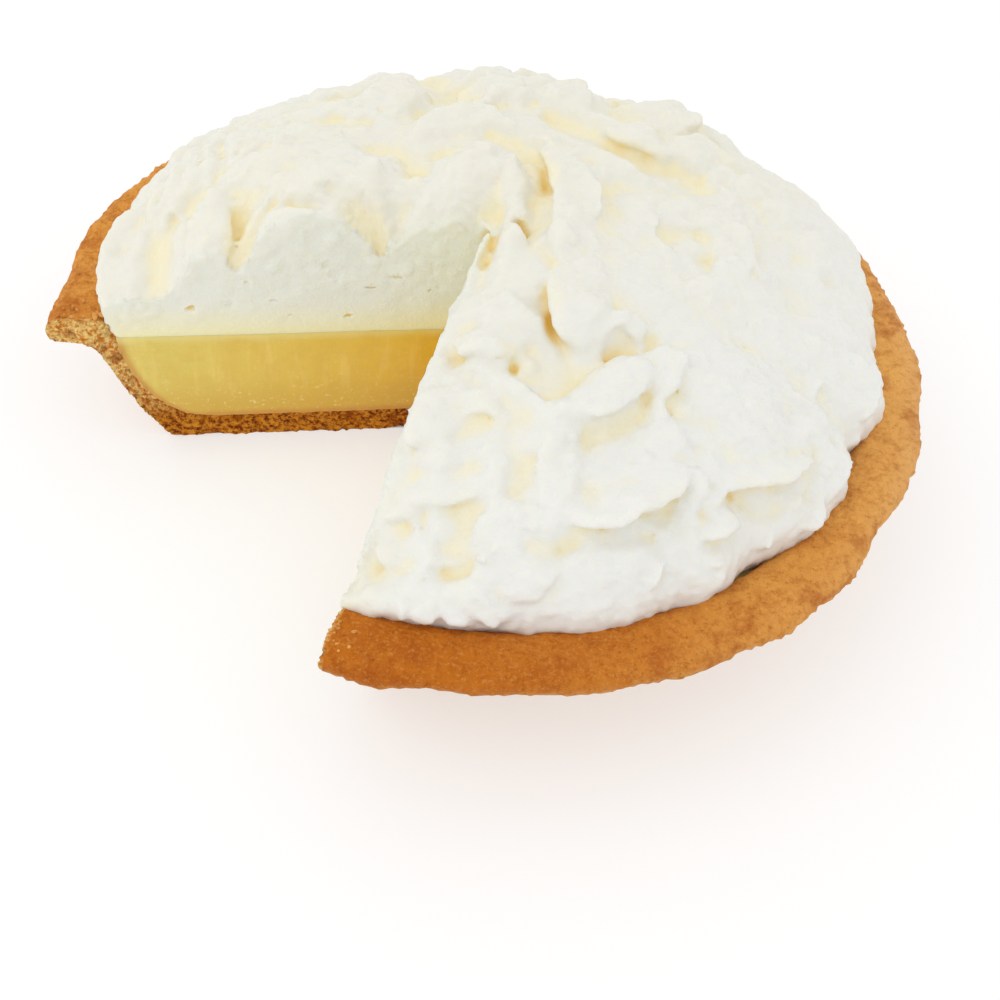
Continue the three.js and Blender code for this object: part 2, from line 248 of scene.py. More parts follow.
def spun_block(outward, upward, turns, bottom_hidden=False):
    """A closed block of unit radius and height that fills the pie's plan, with the slice missing."""
    block = bmesh.new()
    bmesh.ops.create_grid(block, x_segments=outward, y_segments=upward, size=0.5)
    stand = Matrix.Rotation(RIGHT_CUT, 4, "Z") @ Matrix.Translation((0.5, 0.0, 0.5))
    bmesh.ops.transform(block, matrix=stand @ Matrix.Rotation(math.pi / 2, 4, "X"), verts=block.verts)
    border = [edge for edge in block.edges if edge.is_boundary]
    copy = bmesh.ops.duplicate(block, geom=block.faces[:])
    far_side = [item for item in copy["geom"] if isinstance(item, bmesh.types.BMVert)]
    bmesh.ops.rotate(block, matrix=Matrix.Rotation(LEFT_CUT - RIGHT_CUT, 3, "Z"), verts=far_side)
    bmesh.ops.spin(block, geom=border, axis=(0, 0, 1), angle=LEFT_CUT - RIGHT_CUT, steps=turns)
    bmesh.ops.remove_doubles(block, verts=block.verts, dist=TINY)
    block = in_order(block)
    if bottom_hidden:
        join_bottom(block, turns)
    rings = [edge for edge in block.edges if runs_round(edge)]
    bmesh.ops.subdivide_edges(block, edges=rings, cuts=SPIN_SPLITS - 1)
    return block


def in_order(block):
    """The same block built again face by face, because spin orders its edges anew on each run."""
    block.verts.index_update()
    ordered = bmesh.new()
    verts = [ordered.verts.new(vert.co) for vert in block.verts]
    for corners in sorted([vert.index for vert in face.verts] for face in block.faces):
        ordered.faces.new([verts[i] for i in corners])
    block.free()
    return ordered


def runs_round(edge):
    start, end = (vert.co for vert in edge.verts)
    return abs(start.z - end.z) < TINY and abs(start.xy.length - end.xy.length) < TINY


def join_bottom(block, turns):
    """Makes one face of the hidden under side of each turn of the spin."""
    strips = {}
    for face in block.faces:
        if all(vert.co.z < TINY for vert in face.verts):
            middle = face.calc_center_median()
            angle = (math.atan2(middle.y, middle.x) - RIGHT_CUT) % FULL_TURN
            strips.setdefault(int(angle * turns / (LEFT_CUT - RIGHT_CUT)), []).append(face)
    for faces in strips.values():
        bmesh.ops.dissolve_faces(block, faces=faces, use_verts=False)


def split_cuts(block, cuts):
    """Makes the mesh of both cut faces finer."""
    edges = {}
    for angle in (RIGHT_CUT, LEFT_CUT):
        normal = Vector((-math.sin(angle), math.cos(angle), 0.0))
        outward = Vector((math.cos(angle), math.sin(angle), 0.0))
        for face in block.faces:
            if all(abs(vert.co.dot(normal)) < TINY and vert.co.dot(outward) > -TINY for vert in face.verts):
                edges.update(dict.fromkeys(face.edges))
    bmesh.ops.subdivide_edges(block, edges=list(edges), cuts=cuts, use_grid_fill=True)


# %% Where the vertices of a block lie
def unit_places(points, turns):
    """Outward 0 to 1, angle round the slice's point, and upward 0 to 1 of every vertex of a block."""
    angle = np.arctan2(points[:, 1], points[:, 0])
    angle = RIGHT_CUT + np.mod(angle - RIGHT_CUT + SAME_ANGLE, FULL_TURN) - SAME_ANGLE
    turn_step = (LEFT_CUT - RIGHT_CUT) / turns
    off_middle = np.mod(angle - RIGHT_CUT, turn_step) - turn_step / 2
    bow = np.cos(off_middle) / math.cos(turn_step / 2)
    return np.hypot(points[:, 0], points[:, 1]) * bow, angle, points[:, 2]


def on_cut(outward, angle):
    """Which vertices lie on the right and on the left cut."""
    return [(np.abs(angle - cut) < SAME_ANGLE) | (outward < TINY) for cut in (RIGHT_CUT, LEFT_CUT)]


def reach(angle, radius):
    """How far from the slice's point, in a direction, the circle of a radius round the pie's axis is."""
    along = np.cos(angle) * SLICE_POINT[0] + np.sin(angle) * SLICE_POINT[1]
    inside = np.maximum(along**2 + radius**2 - SLICE_POINT @ SLICE_POINT, 0.0)
    return np.maximum(np.sqrt(inside) - along, 0.0)


def plan_point(angle, distance):
    return SLICE_POINT[0] + distance * np.cos(angle), SLICE_POINT[1] + distance * np.sin(angle)


# %% Reading and writing meshes as arrays
def read(mesh, what):
    """The places, co, or the normals, normal, of a mesh's vertices, one row each."""
    values = np.empty(len(mesh.vertices) * 3)
    mesh.vertices.foreach_get(what, values)
    return values.reshape(-1, 3)


def set_points(mesh, points):
    mesh.vertices.foreach_set("co", points.ravel())
    mesh.update()


def carry(mesh, **marks):
    """Stores values at the vertices, for the finish to read."""
    for name, values in marks.items():
        layer = mesh.attributes.new(name, "FLOAT", "POINT")
        layer.data.foreach_set("value", np.asarray(values, np.float32))


def block_mesh(name, block):
    bmesh.ops.recalc_face_normals(block, faces=block.faces)
    mesh = bpy.data.meshes.new(name)
    block.to_mesh(mesh)
    block.free()
    shade_smooth(mesh)
    return mesh


def shade_smooth(mesh):
    for polygon in mesh.polygons:
        polygon.use_smooth = True


def add_piece(name, mesh, finish, node=None):
    """Shows a mesh as a piece of the pie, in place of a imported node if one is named."""
    piece = new_object(name, mesh)
    mesh.materials.append(finish.material)
    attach(piece, "root")
    if node:
        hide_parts(node)
    mesh.calc_loop_triangles()
    print(name, "has", len(mesh.loop_triangles), "triangles")


# %% Noise that repeats
def dice(cell, seed):
    """A repeatable random number between 0 and 1 for each cell of a lattice."""
    mixed = cell[0] * 73856093 ^ cell[1] * 19349663 ^ cell[2] * 83492791 ^ seed * 49979687
    mixed = (mixed ^ (mixed >> 13)) * 1274126177 & 0xFFFFFFFF
    mixed = (mixed ^ (mixed >> 15)) * 668265263 & 0xFFFFFFFF
    return ((mixed ^ (mixed >> 14)) & 0xFFFFFF) / 0xFFFFFF


def cloud(points, size, seed):
    """Smooth noise between about -1 and 1 at points in millimetres, with lumps of about size."""
    place = np.asarray(points).T / size
    cell = np.floor(place).astype(np.int64)
    part = place - cell
    ease = part**3 * (part * (part * 6 - 15) + 10)
    total = np.zeros(place.shape[1])
    for corner in itertools.product((0, 1), repeat=3):
        offset = np.array(corner)[:, None]
        spot = cell + offset
        slant = sum((dice(spot, 3 * seed + i) * 2 - 1) * (part[i] - corner[i]) for i in range(3))
        total += slant * np.prod(np.where(offset == 1, ease, 1 - ease), axis=0)
    return total * 1.7


def grains(points, size, seed):
    """Rounded grains of about size millimetres: 0 at the gaps between them, 1 on top."""
    place = np.asarray(points).T / size
    cell = np.floor(place).astype(np.int64)
    first = np.full(place.shape[1], 9.0)
    second = first.copy()
    for corner in itertools.product((-1, 0, 1), repeat=3):
        spot = cell + np.array(corner)[:, None]
        apart = np.sqrt(sum((spot[i] + dice(spot, 3 * seed + i) - place[i]) ** 2 for i in range(3)))
        second = np.minimum(np.maximum(apart, first), second)
        first = np.minimum(apart, first)
    return np.clip((second - first) * 1.6, 0.0, 1.0)


def smooth(value, low, high):
    amount = np.clip((value - low) / (high - low), 0.0, 1.0)
    return amount * amount * (3.0 - 2.0 * amount)


def swells(table, degrees):
    """Sum of swells round the pie, each with an angle, a push and a width in degrees."""
    total = np.zeros_like(degrees)
    for at, push, width in table:
        apart = np.mod(degrees - at + 180.0, 360.0) - 180.0
        total += push * np.exp(-((apart / width) ** 2))
    return total


print("noise at the pie's axis:", cloud(np.zeros((1, 3)) + 0.5, 2.0, 1).round(3))

# %% [markdown]
# ## Crust
# The crust is crumb pressed into a plate and baked: a flat floor, a wall that leans out, and a broad rim
# that browned flat. A lathe shape alone would look like clay, so the sides of the cut are broken into
# grains, the rim's edge is uneven, and the top is pitted.

# %% Crust outline: the under side and the upper side, matched share for share
RIM_BEND = 110.0
BEND_WIDTH = 7.0
BEND_DEPTH = 10.4
RIM_EDGE = 3.6
FLOOR_SHARE = 0.34
WALL_SHARE = 0.7


def bezier(*points, count):
    t = np.linspace(0.0, 1.0, count)[:, None]
    a, b, c, d = (np.array(point, float) for point in points)
    return a * (1 - t) ** 3 + 3 * b * t * (1 - t) ** 2 + 3 * c * t**2 * (1 - t) + d * t**3


def outline(wall, rim):
    """One side of the crust: shares of the way from its middle to its edge, and the points at them."""
    shares = [[0.0]]
    for line, start, end in ((wall, FLOOR_SHARE, WALL_SHARE), (rim, WALL_SHARE, 1.0)):
        lengths = np.cumsum(np.hypot(*np.diff(line, axis=0, prepend=line[:1]).T))
        shares.append(start + (end - start) * lengths / lengths[-1])
    return np.concatenate(shares), np.concatenate([[(0.0, wall[0, 1])], wall, rim])


def follow(side, outward):
    shares, points = side
    return np.stack([np.interp(outward, shares, column) for column in points.T], 1)


rim_under = RIM_TOP - RIM_THICKNESS
bend_foot = RIM_TOP - BEND_DEPTH
bend_inner = RIM_BEND - BEND_WIDTH
edge_radius = RIM_RADIUS - RIM_EDGE
quarter = np.linspace(0.0, math.pi / 2, 16)
bend = np.stack([RIM_BEND - BEND_WIDTH * np.cos(quarter), bend_foot + BEND_DEPTH * np.sin(quarter)], 1)
inner_wall = bezier((78, FLOOR_THICKNESS), (92.5, FLOOR_THICKNESS), (101, 22), (bend_inner, bend_foot),
                    count=40)
outer_wall = bezier((91.5, 0), (94, 3), (103, 16), (106.6, 29), count=40)
outer_bend = bezier((106.6, 29), (108.5, 34), (111, rim_under), (115.5, rim_under), count=20)
top_side = outline(np.concatenate([inner_wall, bend[1:9]]),
                   np.concatenate([bend[8:], [(edge_radius, RIM_TOP)]]))
under_side = outline(np.concatenate([outer_wall, outer_bend[1:8]]),
                     np.concatenate([outer_bend[7:], [(edge_radius, rim_under)]]))
print("the crust's upper side follows", len(top_side[0]), "points")

# %% Crust mesh: bend the block, then make it uneven
CRUST_TURNS = 44
RIM_SWELLS = [
    (33, 0.6, 8), (168, 0.6, 5), (178, -1.2, 8), (262, 1.0, 5), (276, -1.1, 7), (309, 1.3, 5), (331, -1.8, 6),
]

crust_block = spun_block(84, 6, CRUST_TURNS)
split_cuts(crust_block, 2)
crust_mesh = block_mesh("crust", crust_block)
outward, angle, upward = unit_places(read(crust_mesh, "co"), CRUST_TURNS)
crust_right, crust_left = on_cut(outward, angle)
lower, upper = follow(under_side, outward), follow(top_side, outward)
section = lower + (upper - lower) * upward[:, None]
bulge = RIM_EDGE * np.sqrt(np.clip(1.0 - (2.0 * upward - 1.0) ** 2, 0.0, 1.0))
radius = section[:, 0] + bulge * smooth(outward, 0.97, 1.0)
flat_x, flat_y = plan_point(angle, reach(angle, radius) * (outward >= TINY))
crust_degrees = np.degrees(np.arctan2(flat_y, flat_x))
turn_angle = np.radians(crust_degrees)
ripple = 0.35 * (np.sin(17 * turn_angle + 1) + np.sin(29 * turn_angle + 2))
radius = radius + smooth(radius, RIM_BEND, RIM_RADIUS) * (swells(RIM_SWELLS, crust_degrees) + ripple)
flat_x, flat_y = plan_point(angle, reach(angle, radius) * (outward >= TINY))
waves = np.sin(7 * turn_angle + 0.6) + 0.7 * np.sin(13 * turn_angle + 2)
lift = smooth(radius, bend_inner, RIM_BEND) * 0.4 * waves
crust_points = np.stack([flat_x, flat_y, section[:, 1] + lift], 1)
set_points(crust_mesh, crust_points)
print("crust spans", crust_points.min(0).round(1), crust_points.max(0).round(1))

# %% Crust relief: crumb on the cuts, pits and grain on the baked faces
crumb = grains(crust_points, 1.7, 1)
lumps = cloud(crust_points, 7.0, 3)
cut_share = (crust_right | crust_left).astype(float)
facing = read(crust_mesh, "normal")
facing[crust_right] = RIGHT_OUT
facing[crust_left] = LEFT_OUT
baked = 0.35 * lumps + 0.3 * cloud(crust_points, 3.4, 17) + 0.25 * (crumb - 0.5)
torn = smooth(cloud(crust_points, 3.6, 20), 0.25, 0.6)
broken = 0.7 * (crumb - 0.6) + 0.5 * (grains(crust_points, 0.9, 2) - 0.5) + 0.6 * lumps - 0.8 * torn
baked = baked * smooth(crust_points[:, 2], 0.0, 1.5)
push = np.where(cut_share > 0.5, broken, baked)
edge_crumble = smooth(radius, RIM_RADIUS - 4.0, RIM_RADIUS) * (crumb - 0.4) * 0.6
crust_points = crust_points + facing * (push + edge_crumble * (cut_share < 0.5))[:, None]
crust_points[:, 2] = np.maximum(crust_points[:, 2], 0.0)
set_points(crust_mesh, crust_points * MM)
crust_degrees = np.degrees(np.arctan2(crust_points[:, 1], crust_points[:, 0]))
carry(
    crust_mesh,
    cut=cut_share,
    front=swells([(265, 1.0, 40)], crust_degrees),
    pale=swells([(356, 1.06, 36)], crust_degrees),
    wall=smooth(crust_points[:, 2], RIM_TOP - 3.0, RIM_TOP - 9.0) * (1.0 - cut_share),
    low=smooth(crust_points[:, 2], 22.0, 6.0),
    # the pits of the broken crumb, where the finish paints shade
    pit=cut_share * smooth(-broken, 0.1, 1.2),
    edge=smooth(radius, 112.0, RIM_RADIUS),
)
print("crust relief from", push.min().round(2), "to", push.max().round(2), "mm")

# %% [markdown]
# ## Crust finish
# Baked crumb is golden on top, redder where it toasted, and pale where it broke. One noise makes broad
# toasting, others mottles, freckles, dots and pores, and the cut share that the mesh carries turns the
# broken faces to open crumb with dark pits, whose darkness is painted shade.

# %% Crust finish
toast = Finish("baked_crumb", Specular_IOR_Level=0.12)
toasting = toast.step(toast.noise(26, 3.0), 0.3, 0.72)
mottles = toast.step(toast.noise(8.0, 4.0, 0.65), 0.44, 0.7)
freckles = toast.step(toast.noise(2.4, 5.0, 0.8), 0.46, 0.66)
dots = toast.step(toast.noise(0.9, 4.0, 0.75), 0.5, 0.66)
pores = toast.step(toast.noise(1.1, 3.0, 0.6), 0.62, 0.74)
crumbling = toast.step(toast.noise(1.3, 3.0, 0.65), 0.38, 0.66)
pale = toast.mark("pale")
wall_tone = toast.mix(freckles, tone(222, 180, 122), tone(184, 120, 56))
top_tone = toast.coats(
    toast.mix(toasting, tone(238, 168, 78), tone(222, 144, 56)),
    # darker and redder towards the front of the rim
    (toast.mark("front") * 0.9, tone(194, 105, 16)),
    (pale * 0.7, tone(242, 182, 100)),
    (pale * toast.mark("edge") * 0.5, tone(232, 178, 118)),
    (mottles * 0.6, tone(172, 84, 22)),
    (freckles * (0.55 - pale * 0.2), tone(166, 82, 18)),
    (dots * 0.28, tone(236, 178, 100)),
    (pores * 0.5, tone(128, 56, 10)),
    (toast.mark("wall") * 0.85, toast.mix(mottles * 0.5, wall_tone, tone(196, 138, 78))),
)
crumb_tone = toast.coats(
    toast.mix(crumbling, tone(252, 222, 140), tone(214, 118, 14)),
    (toast.mark("low"), toast.mix(crumbling, tone(220, 144, 40), tone(112, 36, 0))),
    # painted shade: the pits of the broken crumb are darkened
    (toast.mark("pit") * 0.7, tone(150, 66, 2)),
)
toast.feed("Base Color", toast.mix(toast.mark("cut"), top_tone, crumb_tone))
toast.feed("Roughness", 0.72 + freckles * 0.2)
cells = toast.node("ShaderNodeTexVoronoi", None, {"Vector": toast.place, "Scale": 1.0 / MM}, "Distance")
toast.bump(toast.noise(1.3, 5.0, 0.75) + cells * 0.5, 0.75, 0.85)
add_piece("crust_baked", crust_mesh, toast, "crust")

# %% [markdown]
# ## Lemon filling
# The custard is smooth and set. Only its two cut faces show, so the block needs no fine mesh elsewhere.
# A knife leaves it a little wavy. At the top it lies flush with the cream, so that no step shows there.

# %% Lemon filling mesh
LEMON_TURNS = 8

lemon_mesh = block_mesh("lemon_filling", spun_block(96, 34, LEMON_TURNS))
outward, angle, upward = unit_places(read(lemon_mesh, "co"), LEMON_TURNS)
height = FLOOR_THICKNESS + (LEMON_TOP - FLOOR_THICKNESS) * upward
wall_line = np.concatenate([inner_wall, bend[1:]])
outer = np.interp(height, wall_line[:, 1], wall_line[:, 0]) + 0.2
flat_x, flat_y = plan_point(angle, reach(angle, outer) * outward)
lemon_points = np.stack([flat_x, flat_y, height], 1)
wobble = 0.35 * cloud(lemon_points, 14.0, 5) + 0.12 * cloud(lemon_points, 3.5, 6)
wobble += (0.06 - wobble) * smooth(height, LEMON_TOP - 4.0, LEMON_TOP - 1.0)
for chosen, out in zip(on_cut(outward, angle), (RIGHT_OUT, LEFT_OUT)):
    lemon_points[chosen] += out * wobble[chosen][:, None]
lemon_points[:, 2] += np.where(upward > 0.99, 0.25 * cloud(lemon_points, 9.0, 7), 0.0)
set_points(lemon_mesh, lemon_points * MM)
height = lemon_points[:, 2]
carry(
    lemon_mesh,
    glaze=smooth(np.minimum(height - FLOOR_THICKNESS, outer - np.hypot(flat_x, flat_y)), 2.8, 0.5),
    outward=np.hypot(flat_x - SLICE_POINT[0], flat_y - SLICE_POINT[1]) / RIM_RADIUS,
    low=smooth(height, 26.0, 11.0),
    top=smooth(height + 0.8 * cloud(lemon_points, 6.0, 46), LEMON_TOP - 3.5, LEMON_TOP),
)
lemon_mesh.set_sharp_from_angle(angle=math.radians(50.0))
print("lemon from", height.min().round(1), "to", height.max().round(1), "mm")

# %% [markdown]
# ## Lemon finish
# Custard is browned where it met the hot crust. It is painted deeper yellow towards the slice's point and
# greener and paler at the rim, as painted shade of the corner where the two cuts meet. Fine flecks and
# upright streaks are what the knife left. Some light goes into it.

# %% Lemon finish
custard = Finish("lemon_custard", Specular_IOR_Level=0.45, Subsurface_Weight=0.35,
                 Subsurface_Radius=(1.0, 0.55, 0.15), Subsurface_Scale=0.004)
flecks = custard.step(custard.noise(1.2, 3.0, 0.65), 0.56, 0.72)
streaks = custard.step(custard.noise(4.0, 3.0, 0.6, (1.0, 1.0, 0.16)), 0.52, 0.7)
blotches = custard.step(custard.noise(5.0, 4.0, 0.6), 0.42, 0.64)
low = custard.mark("low")
custard.feed("Base Color", custard.coats(
    # painted shade: deeper yellow towards the slice's point, greener and paler towards the rim
    custard.mix(custard.mark("outward"), tone(234, 187, 42), tone(215, 201, 108)),
    (low * 0.6, tone(206, 162, 54)),
    (flecks * (0.2 + low * 0.45), tone(246, 228, 158)),
    (streaks * 0.35 * (1.0 - low), tone(243, 212, 122)),
    (blotches * 0.22, tone(214, 170, 60)),
    (custard.mark("glaze") * 0.8, tone(204, 140, 52)),
    (custard.mark("top") * 0.55, tone(236, 222, 150)),
))
custard.feed("Roughness", 0.34 + custard.noise(30, 2.0) * 0.15)
custard.bump(custard.noise(1.6, 3.0, 0.6), 0.12, 0.5)
add_piece("lemon_custard", lemon_mesh, custard, "lemon_filling")

# %% [markdown]
# ## Whipped cream
# A spatula heaped the cream and left strokes in it: heaps with round backs, and scoops with sharp lips.
# Sculpting by hand would not repeat, so each stroke is a curve in plan with a height and two widths.
# The strokes are laid down in order on a height map, each as the larger or the smaller of what is there
# and its own rounded section, which leaves a crease where two meet.

# %% The strokes of the spatula, in millimetres
# Each row is a way, three places on the plan, the level at both ends, and the width to the left and right
UP = 1.0
DOWN = -1.0
STROKES = [
    # Left side: a smooth hollow inside the outer band, small flutes, a fat petal and a deep pocket
    (DOWN, -93, 13, -92, -8, -89, -26, -3.5, -7, 7, 6),
    (UP, -96, 35, -94, 20, -93, 8, 1.5, 1.5, 4, 4),
    (UP, -91, 42, -88, 24, -87, 10, 2, 2, 4.5, 4.5),
    (UP, -86, 43, -83, 27, -82, 13, 2, 2, 4.5, 4.5),
    (UP, -78, 8, -77, -9, -76, -19, 3, 3.5, 6.5, 6.5),
    (DOWN, -70, 1, -68, -6, -69, -13, -3, -6, 3.5, 3.5),
    # Broad mound behind the left cut, whose front edge hangs over the lobe that the cut goes through
    (UP, -72, 28, -57, 26, -42, 10, 4, 4, 18, 16),
    (UP, -72, 9, -56, 10, -43, 12, 3, 3.5, 12, 3.5),
    (UP, -43, 11, -30, 2, -18, -13, 3, 2, 10, 4),
    # Back left: lumps along the skyline, a hollow behind a ridge, and the smooth swipe down to the cut
    (UP, -57, 46, -52, 48, -45, 46, 3, 3, 9, 5),
    (UP, -41, 52, -35, 55, -28, 53, 4, 4, 9, 6),
    (UP, -64, 62, -52, 66, -36, 72, 3, 3, 10, 9),
    (DOWN, -35, 34, -31, 17, -30, -3, 0, -11, 12, 10),
    (UP, -52, -14, -53, -6, -54, 0, 7.5, 7, 11, 11),
    (UP, -64, 13, -54, 15, -43, 9, 7.5, 6, 14, 7),
    (DOWN, -68, -7, -64, -3, -58, 4, -6, 2, 2, 2),
    (DOWN, -45, 0, -41, -4, -37, -10, 6, -7, 1.8, 1.8),
    (DOWN, -62, -2, -54, 0.5, -45, -0.5, 2.5, 2.5, 2.2, 2.2),
    (DOWN, -24, 48, -17, 54, -8, 56, -3, -4, 6, 5),
    (UP, -24, 38, -15, 44, -4, 45, 3, 3, 5, 9),
    (DOWN, -20, 26, -15, 28, -9, 29, -2, -2, 5, 4),
    # Right lobe at the slice's point, and the long S of a fold with a trough inside it
    (UP, -15, -6, -13, 10, -6, 22, 4, 4, 11, 9),
    (UP, 10, 32, 18, 18, 16, -11, 4, 3, 10, 5),
    (DOWN, -5, 38, 5, 31, 10, 16, -2, -3, 5, 5),
    (DOWN, 10, 16, 9, 1, 6, -8, -2.5, -4, 4.5, 4.5),
    (UP, 0, 24, 3, 9, 3, -9, 3.5, 2.5, 5, 6),
    (UP, 23, 14, 22, 3, 25, -8, 2.5, 2, 3.5, 12),
    (DOWN, 6, -1, 7, -4, 8, -6, -7, -7, 2.6, 2.6),
    (DOWN, -2, 6, -2, 0, -3, -5, -2, -3, 2, 2),
    # Back: a skyline of lumps, and a long crescent trough with a sharp far edge
    (UP, -15, 57, -7, 62, 1, 62, 4, 4.5, 9, 6),
    (UP, 4, 65, 9, 65, 12, 63, 3.5, 3.5, 8, 6),
    (UP, 14, 66, 17, 67, 19, 60, 6, 3, 7, 6),
    (UP, -18, 80, -4, 80, 12, 80, 3, 3, 9, 9),
    (UP, 18, 43, 36, 26, 50, 20, 2.5, 2.5, 5, 14),
    (UP, 25, 52, 36, 50, 46, 42, 3.5, 3.5, 9, 5),
    (DOWN, 16, 53, 33, 41, 55, 34, -3, -3, 5, 9),
    (UP, 50, 49, 52, 46, 54, 44, 5, 5, 7, 6),
    (UP, 61, 39, 65, 38, 69, 34, 3, 3, 7, 6),
    (UP, 46, 63, 53, 69, 62, 68, 5, 5, 10, 9),
    (DOWN, 33, 90, 33, 74, 33, 62, -4, -3, 9, 9),
    (DOWN, -24, 92, -21, 76, -19, 62, -6, -6, 8, 8),
    # Right: a smooth lens, a rough bowl with a raised side, and a crease
    (DOWN, 27, 17, 37, 20, 50, 27, -1, -1, 7, 7),
    (UP, 36, 8, 50, 17, 56, 11, 2, 2.5, 9, 9),
    (DOWN, 42, 0, 51, 6, 55, -2, -1.2, -2, 8, 8),
    (UP, 60, 17, 62, 5, 58, -9, 2.5, 2, 9, 6),
    (DOWN, 50, -12, 54, -16, 58, -19, -1, -1.5, 3, 3),
    (DOWN, 84, 18, 82, 2, 79, -12, -1.5, -1.5, 9, 9),
    (UP, 76, 30, 84, 26, 92, 16, 2, 2, 9, 9),
    # Middle: a hanging lump with a curled lip, a faceted lump at the cut and the smooth basin below them
    (UP, 23, -15, 23, -33, 24, -45, 3, 4.5, 9, 7),
    (UP, 28, -40, 34, -36, 38, -40, 3.5, 3.5, 6, 4),
    (UP, -6, -31, 1, -38, 9, -41, 3, 3, 10, 6),
    (DOWN, 9, -50, 20, -53, 18, -60, -3.5, -4, 11, 10),
    (DOWN, 26, -48, 31, -45, 36, -44, -4, -5, 3, 3.5),
    (DOWN, 16, -33, 17, -41, 21, -49, -1, -3.5, 3, 3.5),
    (DOWN, -10, -44, -3, -48, 7, -49, -2, -4, 3, 5),
    # A fat tongue that hangs down to the left, the upright fold behind it and the holes at its sides
    (UP, 41, -45, 31, -56, 21, -66, 3.5, 4.5, 5, 7),
    (DOWN, 21, -70, 29, -67, 40, -58, -2, -2.5, 4, 5),
    (DOWN, 40, -37, 41, -40, 42, -44, -2, -4, 4.5, 4.5),
    (UP, 44, -40, 43, -50, 42, -59, 3.5, 4, 4.5, 4.5),
    (DOWN, 48, -46, 47, -52, 46, -56, -4, -7, 3, 3),
    # A ball at the cut with a smooth face beside it, a band below and an oval hollow
    (UP, -4, -50, 7, -61, 18, -67, 2, 2, 7, 7),
    (UP, -9, -57, -7, -65, -8, -73, 3, 3.5, 9, 8),
    (DOWN, -3, -65, 3, -65, 9, -67, -1, -1.5, 7, 7),
    (UP, -18, -82, -5, -84, 9, -76, 2, 2, 6, 8),
    (DOWN, -14, -76, -7, -79, 1, -75, -2.5, -2.5, 3, 4),
    (DOWN, 9, -72, 12, -78, 12, -85, -1.5, -2, 7, 7),
    (UP, 18, -72, 19, -80, 15, -88, 2.5, 2, 8, 4),
    # Front: a dark slope, torn lumps at the cut, a bulge and the long slab over a crevice
    (DOWN, -4, -86, -4, -92, -4, -98, -4, -5, 8, 8),
    (UP, -18, -84, -16, -86, -13, -89, 1.5, 1.5, 5, 5),
    (UP, -19, -94, -15, -96, -11, -96, 1, 1, 5, 5),
    (UP, 6, -91, 9, -97, 8, -102, 2.5, 3, 9, 7),
    (UP, 20, -84, 31, -78, 47, -66, 3, 3.5, 12, 6),
    (UP, 19, -90, 31, -84, 50, -72, 3.5, 3.5, 9, 3),
    (UP, 27, -96, 40, -93, 52, -87, 2.5, 2, 7, 9),
    (DOWN, 15, -95, 20, -93.5, 26, -91, -5, -1, 2.4, 2.4),
    (UP, 28, -89, 38, -84, 47, -78, 1.5, 1.5, 5, 6),
    (DOWN, 43, -82, 48, -79, 51, -77, 0, -3, 1.8, 1.8),
    (UP, 51, -73, 51, -77, 50, -82, 3, 2, 4.5, 4.5),
    (UP, 57, -72, 57, -76, 57, -82, 3, 2, 4.5, 4.5),
    # Front right: the big round mound with its own hanging edge, and a crescent crease below it
    (UP, 55, -47, 62, -50, 64, -56, 4.5, 4.5, 15, 15),
    (UP, 52, -63, 68, -62, 86, -44, 3, 3, 10, 4),
    (UP, 62, -76, 73, -74, 84, -64, 0.5, 0.5, 6, 6),
    (DOWN, 60, -71, 68, -73, 74, -70, -2, -4, 2.2, 2.2),
    (DOWN, 78, -67, 82, -63, 84, -60, -3, -3, 1.8, 1.8),
    (UP, 100, -18, 101, -23, 98, -31, 2, 2, 7, 7),
    (UP, 88, -52, 89, -55, 87, -60, 2, 2, 7, 7),
    # Front left corner, where the cream thins out to the cut
    (DOWN, -19, -86, -25, -98, -29, -110, -6, -12, 11, 11),
]
print(len(STROKES), "strokes")

# %% A map of the plan, and the sums that are made on it
MAP_REACH = 120.0
MAP_STEP = 0.5
map_line = np.arange(-MAP_REACH, MAP_REACH + MAP_STEP, MAP_STEP)
map_x, map_y = np.meshgrid(map_line, map_line)


def map_cloud(size, seed, x=map_x, y=map_y):
    points = np.stack([x.ravel(), y.ravel(), np.zeros(x.size)], 1)
    return cloud(points, size, seed).reshape(x.shape)


warp_x = map_x + 2.6 * map_cloud(21.0, 8) + 1.1 * map_cloud(7.0, 18)
warp_y = map_y + 2.6 * map_cloud(21.0, 9) + 1.1 * map_cloud(7.0, 19)


def puffs(size, seed):
    """Rounded lumps with sharp creases between them, as whipped cream tears."""
    return np.abs(map_cloud(size, seed, warp_x, warp_y)) - 0.3


def map_spot(x, y, size):
    """A round spot on the map, 1 in its middle."""
    return np.exp(-((map_x - x) ** 2 + (map_y - y) ** 2) / size**2)


def blurred(field, size):
    """Gaussian blur of a map, by size in millimetres."""
    waves_y = np.fft.fftfreq(field.shape[0], MAP_STEP)[:, None]
    waves_x = np.fft.rfftfreq(field.shape[1], MAP_STEP)[None, :]
    soften = np.exp(-2.0 * (math.pi * size) ** 2 * (waves_x**2 + waves_y**2))
    return np.fft.irfft2(np.fft.rfft2(field) * soften, field.shape)


def sample(field, x, y):
    """Value of a map at points of the plan, between its grid points."""
    column = np.clip((x + MAP_REACH) / MAP_STEP, 0, field.shape[1] - 1.001)
    row = np.clip((y + MAP_REACH) / MAP_STEP, 0, field.shape[0] - 1.001)
    i, j = row.astype(int), column.astype(int)
    a, b = row - i, column - j
    top = field[i, j] * (1 - b) + field[i, j + 1] * b
    low = field[i + 1, j] * (1 - b) + field[i + 1, j + 1] * b
    return top * (1 - a) + low * a


print("the map has", map_x.size, "points")

# %% Height map of the cream: lay the strokes down one after another
CREASE_SOFTNESS = 0.6
SECTION_RISE = 5.0
NO_REACH = 22.0


